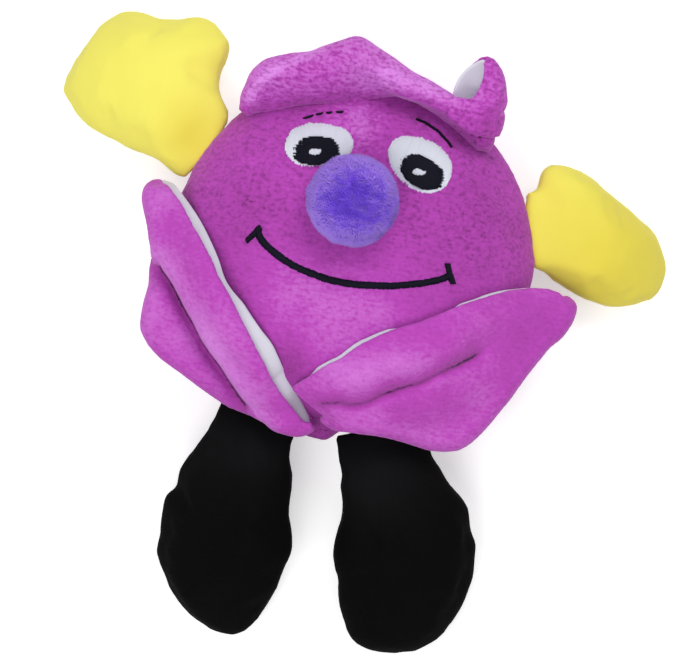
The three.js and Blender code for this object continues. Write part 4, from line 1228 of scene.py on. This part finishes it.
def mottled(
    name, gap, deep, middle, pale, sheen=0.5, tint="#FFFFFF", gaps=0.0, grain=0.0, patches=0.3, bump=0.2,
    shine=0.2, rough=0.9, index=1.57,
):
    """A material in four shades, from the gaps to the pale tips.

    The patches are broad and soft, the grain is the contrast of the tufts, and the gaps are how dark the open
    pile gets. The index is that of refraction."""
    material, tree = new_material(name)
    # laid reads the kept value 'pale', which is mostly painted light and shade; tip gives the tufts' paler
    # tips
    laid, ruffled, tip = [
        add_node(tree, "ShaderNodeAttribute", attribute_name=label) for label in ("pale", "ruffled", "tip")
    ]
    place = add_node(tree, "ShaderNodeTexCoord").outputs["Object"]
    level = add_node(
        tree, "ShaderNodeMapping", {"Vector": place, "Rotation": (0, 0, -NAP_TURN), "Scale": (0.35, 1.0, 0.8)}
    )
    patch, rows, dots = [
        add_node(tree, "ShaderNodeTexNoise", {"Vector": where, "Scale": 1 / (size * MM), "Detail": detail})
        for where, size, detail in (
            (place, PATCH, 2.0), (level.outputs["Vector"], TUFT_ROW, 1.5), (place, TUFT_DOT, 1.0)
        )
    ]
    either, tufts = [
        add_node(tree, "ShaderNodeMath", {0: rows.outputs["Fac"], 1: dots.outputs["Fac"]}, operation=how)
        for how in ("MINIMUM", "ADD")
    ]
    # The dark gaps count in full and the pale tips by 0.6, and both more where the pile stands open
    tufts = add_node(tree, "ShaderNodeMath", {0: tufts.outputs[0], 1: -1.0}, operation="ADD")
    faint = add_node(tree, "ShaderNodeMath", {0: tufts.outputs[0], 1: 0.6}, operation="MULTIPLY")
    tufts = add_node(tree, "ShaderNodeMath", {0: tufts.outputs[0], 1: faint.outputs[0]}, operation="MINIMUM")
    depth = add_node(
        tree, "ShaderNodeMath", {0: ruffled.outputs["Fac"], 1: grain, 2: grain / 2}, operation="MULTIPLY_ADD"
    )
    shade = 0.5 - patches / 2
    for source, much in (
        (patch.outputs["Fac"], patches),
        (laid.outputs["Fac"], 0.5),
        (tip.outputs["Fac"], 0.08),
        (tufts.outputs[0], depth.outputs[0]),
    ):
        added = add_node(tree, "ShaderNodeMath", {0: source, 1: much, 2: shade}, operation="MULTIPLY_ADD")
        shade = added.outputs[0]
    ramp = add_node(tree, "ShaderNodeValToRGB", {"Fac": shade})
    ramp.color_ramp.elements[0].color = hex_colour(gap)
    ramp.color_ramp.elements[1].color = hex_colour(pale)
    ramp.color_ramp.elements.new(0.12).color = hex_colour(deep)
    ramp.color_ramp.elements.new(0.5).color = hex_colour(middle)
    # The deepest gaps take their own colour where the pile stands open
    open_pile = add_node(
        tree, "ShaderNodeMapRange",
        {"Value": either.outputs[0], "From Min": 0.44, "From Max": 0.3, "To Min": 0.0, "To Max": gaps},
    )
    amount = add_node(
        tree, "ShaderNodeMath", {0: open_pile.outputs[0], 1: ruffled.outputs["Fac"]}, operation="MULTIPLY"
    )
    colour = add_node(
        tree, "ShaderNodeMix", {"Factor": amount.outputs[0], 6: ramp.outputs["Color"], 7: hex_colour(gap)},
        data_type="RGBA",
    )
    bumps = add_node(
        tree, "ShaderNodeBump", {"Height": either.outputs[0], "Strength": bump, "Distance": 0.6 * MM}
    )
    matt = add_node(
        tree, "ShaderNodeMath", {0: tufts.outputs[0], 1: -0.2, 2: rough},
        operation="MULTIPLY_ADD", use_clamp=True,
    )
    shader = add_node(
        tree, "ShaderNodeBsdfPrincipled",
        {"Base Color": colour.outputs[2], "Roughness": matt.outputs[0], "Normal": bumps.outputs["Normal"],
         "IOR": index, "Specular IOR Level": shine,
         "Sheen Weight": sheen, "Sheen Roughness": 0.45, "Sheen Tint": hex_colour(tint)},
    )
    add_node(tree, "ShaderNodeOutputMaterial", {"Surface": shader.outputs[0]})
    return material


# Polyester velour, its 1 mm pile brushed: soft edges, pale tips in brushed rows, dark specks between tufts.
magenta = mottled(
    "magenta polyester velour, brushed", "#3C0A38", "#94358F", "#B745B5", "#DB8CE4", tint="#F0B8F4",
    gaps=0.2, grain=0.46, bump=0.25,
)
# Polyester faux fur, its 4 mm pile drawn into a ball: tufts stand out all round, paler seen from the side by
# their sheen and by a paler rim painted on as sheen.
violet = mottled(
    "violet faux fur, gathered", "#603CBE", "#7A49E4", "#9865FF", "#BE96FF", tint="#B08CFF",
    sheen=0.4, grain=0.15, bump=0.0,
)
# The same velour with a shorter, denser pile: almost even, with painted shade where a hand turns away from
# the light.
yellow = mottled(
    "yellow polyester velour, brushed", "#D8C838", "#E2D04A", "#F1E866", "#F7F17E", tint="#FFFBC8",
    sheen=0.3, patches=0.1, bump=0.03,
)
# Dyed black the pile swallows nearly all light: only the faint sheen and a painted highlight on the legs'
# upper parts show its form.
black = mottled(
    "black polyester velour, brushed", "#010101", "#030303", "#080808", "#161618", tint="#4A4A52",
    sheen=0.03, patches=0.15, bump=0.05, shine=0.04,
)
# Woven polyester lining: matt and cool white, with no gloss. Its threads, 0.2 mm apart, are too fine to show,
# so a faint mottling about 1 mm wide stands for them.
lining_cloth = mottled(
    "white polyester lining, woven", "#C4C4D2", "#C8C8D2", "#D6D6E0", "#E6E6EE",
    sheen=0.2, bump=0.1, rough=0.8,
)
# Rayon thread laid in satin stitch: the thread itself is geometry, 0.6 mm thick, coarser than the real 0.3 mm
# so that it shows. It gives fine parallel ridges with a soft gleam along them.
white_thread = mottled(
    "white rayon thread, satin stitched", "#B9BDCB", "#C9CCD6", "#DBDEE8", "#EEF0F6",
    sheen=0.0, bump=0.1, rough=0.5, index=1.52,
)
dark_thread = mottled(
    "dark blue rayon thread, satin stitched", "#050510", "#080814", "#10101F", "#24243A",
    sheen=0.0, bump=0.1, shine=0.1, rough=0.5, index=1.52,
)
# Hidden in the stuffing: milky soft vinyl and a clear strip, a little uneven, as mould and knife leave them.
squeaker_plastic = mottled(
    "soft vinyl, moulded", "#E2E0D6", "#E4E2D8", "#EAE8DE", "#F0EEE6",
    sheen=0.0, patches=0.1, bump=0.05, shine=0.5, rough=0.4, index=1.54,
)
reed_plastic = mottled(
    "polyester film, cut", "#C0CCD4", "#C2CED6", "#C8D4DC", "#D2DEE6",
    sheen=0.0, patches=0.1, bump=0.02, shine=0.5, rough=0.15,
)
print("finishes:", ", ".join(finish.name for finish in (magenta, violet, yellow, black, lining_cloth)))

# %% [markdown]
# ## The lay of the pile, and painted light and shade
# Brushed plush shows paler and deeper patches where hands have stroked it. Here the face is paler in a
# few patches, and the colour also carries painted light and shade: shade on the sides that turn away,
# shadow beside the leaves' rolls, between the legs and under the crown's hem, and highlights along edges
# and ridges. The dark lines in the leaves' creases are painted shade. They could be left to one more
# random noise, but on this toy they are part of its drawing: pale above the mouth's lower side and on the
# brow, deep in the leaves' creases. So each patch is a place with two radii, and each painted dark fold
# follows the line of its crease.

# %% Dressing
def dressed(piece, material):
    piece.data.materials.clear()
    piece.data.materials.append(material)
    return piece


def mark_points(piece, label, values):
    """Keeps a value for each point of a piece, for its material to read."""
    marks = piece.data.attributes
    kept = marks.get(label) or marks.new(label, "FLOAT", "POINT")
    kept.data.foreach_set("value", values.astype(np.float32))


def lay_nap_and_paint_shade(piece, ruffled, spots=(), lines=(), usual=0.0, lowest=-2.0):
    """Says how far the pile stands open, and where its colour is painted paler or deeper, mostly as light and
    shade.

    A spot is x, y, two radii and how much. A line has a width on its left, a width on its right and how much.
    On the left leaf a dark line counts only where the sheet is low: painted shade at the bottom of the
    crease."""
    points = points_of(piece)
    pale = np.full(len(points), usual)
    # On the left leaf the painted shade of the crease lies only where the sheet is low, in the crease's
    # bottom
    low = smoothstep(2.5, 0.5, points[:, 2] - cloth_height(points)) if piece is left_leaf else 1.0
    for line, left_width, right_width, much in lines:
        gap, side, _ = distance_to(np.array(line), points[:, :2])
        pale += much * (low if much < 0 else 1) * bell(gap, np.where(side > 0, left_width, right_width))
    for x, y, wide, high, much in spots:
        pale += much * np.exp(-(((points[:, 0] - x) / wide) ** 2) - ((points[:, 1] - y) / high) ** 2)
    mark_points(piece, "pale", np.maximum(pale, lowest))
    mark_points(piece, "ruffled", np.full(len(points), ruffled))


# Where each magenta piece is painted paler or deeper: painted light, highlights, shade and shadows, by spots
# and along creases
MAGENTA_NAP_AND_PAINTED_SHADE = [
    # Body: paler on the lower face, beside the nose and on the brow; painted shade on both cheeks, between
    # the legs and in the V between the leaves; a painted shadow beside the left leaf's white edge
    dict(
        piece=body, ruffled=0.7, usual=-0.2, lowest=-0.6,
        spots=[
            (3, -22, 24, 15, 0.4), (-14, -15, 12, 8, 0.25), (-6, 37, 9, 10, 0.5), (-36, 8, 12, 14, -0.2),
            (36, 14, 16, 22, -0.25), (0, -57, 11, 4.5, -0.85), (-12.5, -37, 4, 6, -0.4),
        ],
        lines=[(left_white_edge[1:], 4.0, 4.0, -0.2)],
    ),
    # Left leaf: painted highlights on the roll and at its tip, painted shade in the crease, and a painted
    # highlight on the roll beside it
    dict(
        piece=left_leaf, ruffled=0.1,
        spots=[(-34, -36, 10, 10, 0.2), (-62, 4, 6, 8, 0.3), (-58, -30, 4, 12, 0.2), (-48, -37, 8, 7, 0.3)],
        lines=[(left_crease, 0.4, 1.0, -1.0), (left_crease, 0.2, 3.0, -0.6), (left_crease, 5.0, 0.2, 0.45)],
    ),
    # Right leaf: painted light on its upper swell and along its lower edge, painted shade near its corner, in
    # its valley and along the crease
    dict(
        piece=right_leaf, ruffled=0.1,
        spots=[(6, -38, 12, 7, 0.4), (24, -31, 12, 6, 0.35), (58, -12, 12, 8, -0.15), (20, -52, 24, 4, 0.2)],
        lines=[(right_crease[:-2], 2.6, 1.6, -0.5), (right_crease[:-2], 0.5, 0.6, -0.5)],
    ),
    # Crown leaf: painted lighter overall, painted highlights on its right part, left corner, fold and crest,
    # painted shade beside the ear and along the hem
    dict(
        piece=crown_leaf, ruffled=1.0, usual=0.12,
        spots=[(8, 54, 17, 5, 0.65), (-38, 50, 6, 9, 0.3), (33, 46, 6, 9, -0.4)],
        lines=[(crown_hem[:12], 2.0, 2.0, -0.3), (crown_hem[12:], 2.4, 2.4, -0.4),
               (crown_left_fold, 1.6, 1.6, 0.5), (crown_outline[8:18], 6.0, 6.0, 0.2)],
    ),
]
for nap_and_shade in MAGENTA_NAP_AND_PAINTED_SHADE:
    give_pile(dressed(nap_and_shade["piece"], magenta), 0.15)
    lay_nap_and_paint_shade(**nap_and_shade)
stroked = smoothstep(12, -10, points_of(body)[:, 1])
mark_points(body, "ruffled", 0.7 - 0.48 * stroked)
# Painted shade at the left hand's root, and over the right hand's outer part, which turns away from the light
for name, spots in (("left_hand", [(-56, 26, 9, 9, -0.6)]), ("right_hand", [(80, 12, 30, 30, -0.7)])):
    lay_nap_and_paint_shade(give_pile(dressed(limbs[name], yellow), 0.03, tuft=(3, 2, 2)), 0, spots)
# Painted highlight on each leg's upper part, near the body
for name, spots in (("left_leg", [(-20, -66, 16, 12, 0.6)]), ("right_leg", [(20, -66, 16, 14, 0.7)])):
    lay_nap_and_paint_shade(give_pile(dressed(limbs[name], black), 0.06), 0, spots)
for piece in (left_lining, right_lining, crown_lining):
    smooth_shaded(dressed(piece, lining_cloth))

# %% Nose, pale at its rim and below
dressed(nose, violet)
give_pile(nose, 0.7, tuft=(3.2, 2.0, 2.0))
points = points_of(nose)
aside, up = points[:, 0] - NOSE_X, points[:, 1] - NOSE_Y
out = np.hypot(aside, up) / NOSE_RADIUS
# The rim is painted paler, a painted sheen that grows a little towards the upper left; below, the nose is
# painted paler as well
rim = (0.9 + 0.02 * (up - aside)) * smoothstep(0.45, 1.05, out)
pale = rim + 0.45 * smoothstep(-3.0, -6.5, up) + 0.05
mark_points(nose, "pale", pale + 0.6 * noise_at(along_nap(points), (2.6, 1.6, 1.6), 31))
mark_points(nose, "ruffled", np.ones(len(points)))
grown(nose, TUFTS, density=1.4e7, length=0.0016, radius=0.00023, tilt=0.25, seed=7, material=violet)
print("nose", len(nose.data.polygons), "faces")

# %% Eyes, brows and mouth
EYES = {
    "left": dict(
        white=[
            (-26.0, 26.7), (-26.5, 29.2), (-26.0, 31.8), (-24.9, 33.9), (-22.7, 35.6), (-19.8, 36.8),
            (-16.7, 37.2), (-13.5, 37.3), (-10.3, 37.1), (-8.1, 36.2), (-6.7, 34.6), (-6.0, 32.5),
            (-6.2, 30.3), (-7.4, 28.5), (-9.7, 27.1), (-12.5, 25.6), (-15.4, 24.1), (-18.4, 23.2),
            (-21.5, 23.2), (-23.7, 24.2), (-25.1, 25.3),
        ],
        pupil=[
            (-23.5, 26.6), (-23.6, 28.8), (-22.6, 30.6), (-21.3, 31.8), (-18.9, 32.6), (-16.5, 33.1),
            (-14.0, 33.2), (-11.7, 33.0), (-10.2, 31.7), (-9.6, 29.9), (-9.9, 28.3), (-11.5, 26.7),
            (-13.4, 25.4), (-16.1, 24.3), (-19.2, 24.0), (-21.4, 24.2), (-22.9, 25.1),
        ],
        glint=[
            (-19.0, 27.8), (-18.2, 28.9), (-17.1, 29.4), (-15.8, 29.4), (-15.3, 28.5), (-15.7, 27.5),
            (-16.9, 26.9), (-18.2, 27.2),
        ],
        turn=11,
    ),
    "right": dict(
        white=[
            (5.4, 31.0), (4.9, 33.4), (5.7, 35.8), (7.3, 37.4), (9.6, 38.4), (12.4, 38.8), (15.3, 38.7),
            (18.2, 38.0), (21.0, 36.8), (23.2, 35.1), (24.9, 32.9), (25.5, 30.4), (25.2, 27.9), (24.4, 25.5),
            (22.6, 23.6), (20.4, 22.3), (17.9, 22.0), (15.2, 22.6), (12.5, 23.5), (10.1, 24.8), (8.2, 26.4),
            (6.5, 28.5),
        ],
        pupil=[
            (9.5, 29.2), (9.5, 31.1), (10.5, 32.4), (12.2, 33.3), (14.3, 33.6), (16.6, 33.2), (19.0, 32.3),
            (21.5, 30.9), (23.3, 29.4), (23.8, 27.6), (23.3, 25.6), (21.9, 24.1), (19.5, 23.3), (17.0, 23.4),
            (14.3, 24.2), (11.8, 25.5), (10.2, 27.2),
        ],
        glint=[
            (13.6, 27.8), (14.3, 28.9), (15.5, 29.4), (17.2, 28.9), (17.9, 28.3), (16.9, 27.5), (15.6, 26.9),
            (14.3, 27.0),
        ],
        turn=-16,
    ),
}
stitched = []
for side, eye in EYES.items():
    along = math.radians(eye["turn"])
    across = along + math.pi / 2
    white = satin_fill(eye["white"], across, spacing=0.42, lift=0.15, rise=0.35, seed=11)
    pupil = satin_fill(eye["pupil"], along, spacing=0.42, lift=0.75, rise=0.35, seed=12, jitter=0.3)
    glint = satin_fill(eye["glint"], across, spacing=0.4, lift=1.15, rise=0.35, seed=13, jitter=0.15)
    for part, lines, radius, material, slot in (
        ("eye_white", white, 0.3, white_thread, "white_thread"),
        ("pupil", pupil, 0.3, dark_thread, "dark_thread"),
        ("eye_glint", glint, 0.28, white_thread, "white_thread"),
    ):
        piece = stitches(f"{side}_{part}_stitches", lines, radius, material)
        stitched.append((piece, f"{side}_{part}"))

MOUTH = [
    (-29.7, 0.8), (-28.1, -1.5), (-25.9, -3.2), (-23.4, -4.6), (-20.6, -6.0), (-17.6, -7.2), (-14.2, -8.2),
    (-10.9, -8.8), (-7.6, -9.4), (-3.5, -9.7), (0.7, -9.7), (5.0, -9.3), (9.9, -8.6), (14.2, -7.8),
    (18.1, -6.7), (22.0, -5.6), (25.5, -4.3), (29.0, -2.7), (31.4, -1.0),
]
RIGHT_BROW = [
    (11.7, 44.2), (14.0, 43.7), (16.3, 42.9), (18.8, 41.8), (20.6, 40.5), (22.4, 39.3), (23.9, 37.8),
]
LEFT_BROW = [(-22.6, 37.7), (-20.2, 39.0), (-17.9, 40.1), (-15.8, 40.8), (-13.4, 41.5), (-11.0, 42.0)]
mouth = satin_column(MOUTH, (2.2, 2.0), lift=0.1, rise=0.5, seed=21)
mouth += satin_column([(-29.1, 2.0), (-30.8, -0.4), (-32.5, -2.8)], (2.0, 1.2), lift=0.2, rise=0.5, seed=22)
mouth += satin_column([(29.6, 2.0), (30.8, -0.7), (32.3, -3.5)], (1.6, 1.6), lift=0.2, rise=0.5, seed=23)
right_brow = satin_column(RIGHT_BROW, (0.9, 0.7), lift=0.0, rise=0.35, seed=24)
left_brow = running_stitch(LEFT_BROW, [(0.0, 0.26), (0.34, 0.5), (0.6, 0.72), (0.84, 1.0)], lift=0.25)
for name, lines, radius, node in (
    ("mouth_stitches", mouth, 0.3, "mouth_stitching"),
    ("right_brow_stitches", right_brow, 0.26, "right_brow"),
    ("left_brow_stitches", left_brow, 0.42, "left_brow"),
):
    piece = stitches(name, lines, radius, dark_thread)
    stitched.append((piece, node))

# %% [markdown]
# ## What moves with what
# The body is one soft mass, so everything sewn to it rides on it. A hand, a leg or a leaf bends where it
# is sewn in. It could ride on its own body as a rigid piece, but it would open a gap at the seam, so its
# cloth is blended: the first millimetres stay with the body, and the rest turns with the limb. For each
# leaf the width of the strip that it was cut from is worked out from its area and printed.

# %% Joining the pieces to their bodies
on_body = [(body, ("face_panel", "back_panel", "front_stuffing", "back_stuffing"))]
on_body += [(nose, ("nose_cover", "nose_stuffing"))] + [(piece, (node,)) for piece, node in stitched]
for piece, nodes in on_body:
    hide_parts(*nodes)
    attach(piece, "body")
    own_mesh(piece)

for name, piece in limbs.items():
    bend = placed(limb_place(LIMBS[name]), np.array([[-1.0, 0, 0], [9.0, 0, 0]]))
    start, end = bend * MM
    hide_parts(name + "_front", name + "_back", name + "_stuffing")
    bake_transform(piece, "body", name, start=tuple(start), end=tuple(end))

LEAF_HINGES = {
    "left_leaf": ((-18.733, -54.403, 22.5), -109),
    "right_leaf": ((16.812, -54.989, 22.5), -73),
    "crown_leaf": ((-2.061, 59.016, 21.0), 92),
}


def cut_size(piece, length):
    """Length and width in metres of the strip that a sheet was cut from, from half of its skin's area."""
    area = sum(face.area for face in piece.data.polygons) / 2
    print(piece.name, "cut from", length, "by", round(area / length, 4), "m")
    return length, round(area / length, 4)


for name, cloth, lining, length in (
    ("left_leaf", left_leaf, left_lining, 0.105),
    ("right_leaf", right_leaf, right_lining, 0.115),
    ("crown_leaf", crown_leaf, crown_lining, 0.11),
):
    hinge, angle = LEAF_HINGES[name]
    out = np.array([math.cos(math.radians(angle)), math.sin(math.radians(angle)), 0])
    start, end = (hinge + 2 * out) * MM, (hinge - 5 * out) * MM
    for piece, node in ((cloth, name + "_plush"), (lining, name + "_lining")):
        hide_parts(node)
        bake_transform(piece, "body", name, start=tuple(start), end=tuple(end))
    cut_size(cloth, length)
    cut_size(lining, length)

# %% [markdown]
# ## Squeaker
# The squeaker is a soft dome over a cup, with a reed in a tube. Pressing the toy drives air past the
# reed. It is hidden in the stuffing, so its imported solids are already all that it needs, and only get
# their plastics.

# %% Hidden squeaker
for name in ("squeaker_cup", "squeaker_dome", "reed_holder", "squeaker_reed"):
    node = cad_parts[name]
    node.data.materials.clear()
    node.data.materials.append(reed_plastic if name == "squeaker_reed" else squeaker_plastic)
    print(name, "is of", node.data.materials[0].name)

# %% [markdown]
# ## Studio
# The photograph looks straight down on a toy that lies on its back, on white, in even light. A backdrop
# behind it would give no contact shadow, so it lies on a white floor that keeps the shadow and shows the
# camera pure white. Two large soft lights and pale air light it, and a long lens keeps its outline free
# of perspective.

# %% Floor
FLOOR_REACH = 4000
corners = [(x * FLOOR_REACH, y * FLOOR_REACH, 0) for x, y in ((-1, -1), (1, -1), (1, 1), (-1, 1))]
floor = make_piece("floor", corners, [(0, 1, 2, 3)])
material, tree = new_material("white studio card")
rays = add_node(tree, "ShaderNodeLightPath")
seen = add_node(
    tree, "ShaderNodeMath", {0: rays.outputs["Is Camera Ray"], 1: rays.outputs["Is Glossy Ray"]},
    operation="ADD",
)
seen = add_node(
    tree, "ShaderNodeMath", {0: seen.outputs[0], 1: rays.outputs["Is Transmission Ray"]},
    operation="ADD", use_clamp=True,
)
glow = add_node(tree, "ShaderNodeMath", {0: seen.outputs[0], 1: 0.45}, operation="MULTIPLY")
card = add_node(tree, "ShaderNodeBsdfDiffuse", {"Color": hex_colour("#F0F0F0")})
lit = add_node(tree, "ShaderNodeEmission", {"Color": (1, 1, 1, 1), "Strength": glow.outputs[0]})
both = add_node(tree, "ShaderNodeAddShader", {0: card.outputs[0], 1: lit.outputs[0]})
add_node(tree, "ShaderNodeOutputMaterial", {"Surface": both.outputs[0]})
floor.data.materials.append(material)

world = bpy.data.worlds.new("studio air")
world.use_nodes = True
world.node_tree.nodes.clear()
air = add_node(world.node_tree, "ShaderNodeBackground", {"Color": (1, 1, 1, 1), "Strength": 0.5})
add_node(world.node_tree, "ShaderNodeOutputWorld", {"Surface": air.outputs[0]})
bpy.context.scene.world = world


def softbox(name, place, size, watts):
    lamp = bpy.data.lights.new(name, "AREA")
    lamp.shape = "DISK"
    lamp.size = size
    lamp.energy = watts
    holder = put_in_scene(name, lamp)
    place = Vector(place)
    toward = Vector((0, -0.02, 0.02)) - place  # aimed at the middle of the toy
    holder.matrix_world = Matrix.Translation(place) @ toward.to_track_quat("-Z", "Y").to_matrix().to_4x4()


softbox("low softbox", (-0.25, -0.45, 0.95), size=0.7, watts=4.7)
softbox("top softbox", (0.15, 0.6, 0.8), size=0.6, watts=3.8)

# %% Camera, straight above
# The field is the width in metres that the picture shows, and lens and sensor are in millimetres
PICTURE_TURN = math.radians(11)
FIELD, LENS, SENSOR = 0.217, 600.0, 36
target = Vector((0.00426, -0.0250, 0.021))
distance = FIELD * LENS / SENSOR
lens = bpy.data.cameras.new("camera")
lens.lens = LENS
lens.sensor_width = SENSOR
lens.clip_end = 20
camera = put_in_scene("camera", lens)
above = Matrix.Translation(target + Vector((0, 0, distance)))
camera.matrix_world = above @ Matrix.Rotation(PICTURE_TURN, 4, "Z")
bpy.context.scene.camera = camera
bpy.context.scene.view_settings.view_transform = "Standard"
print("camera", round(distance, 3), "m above the toy")
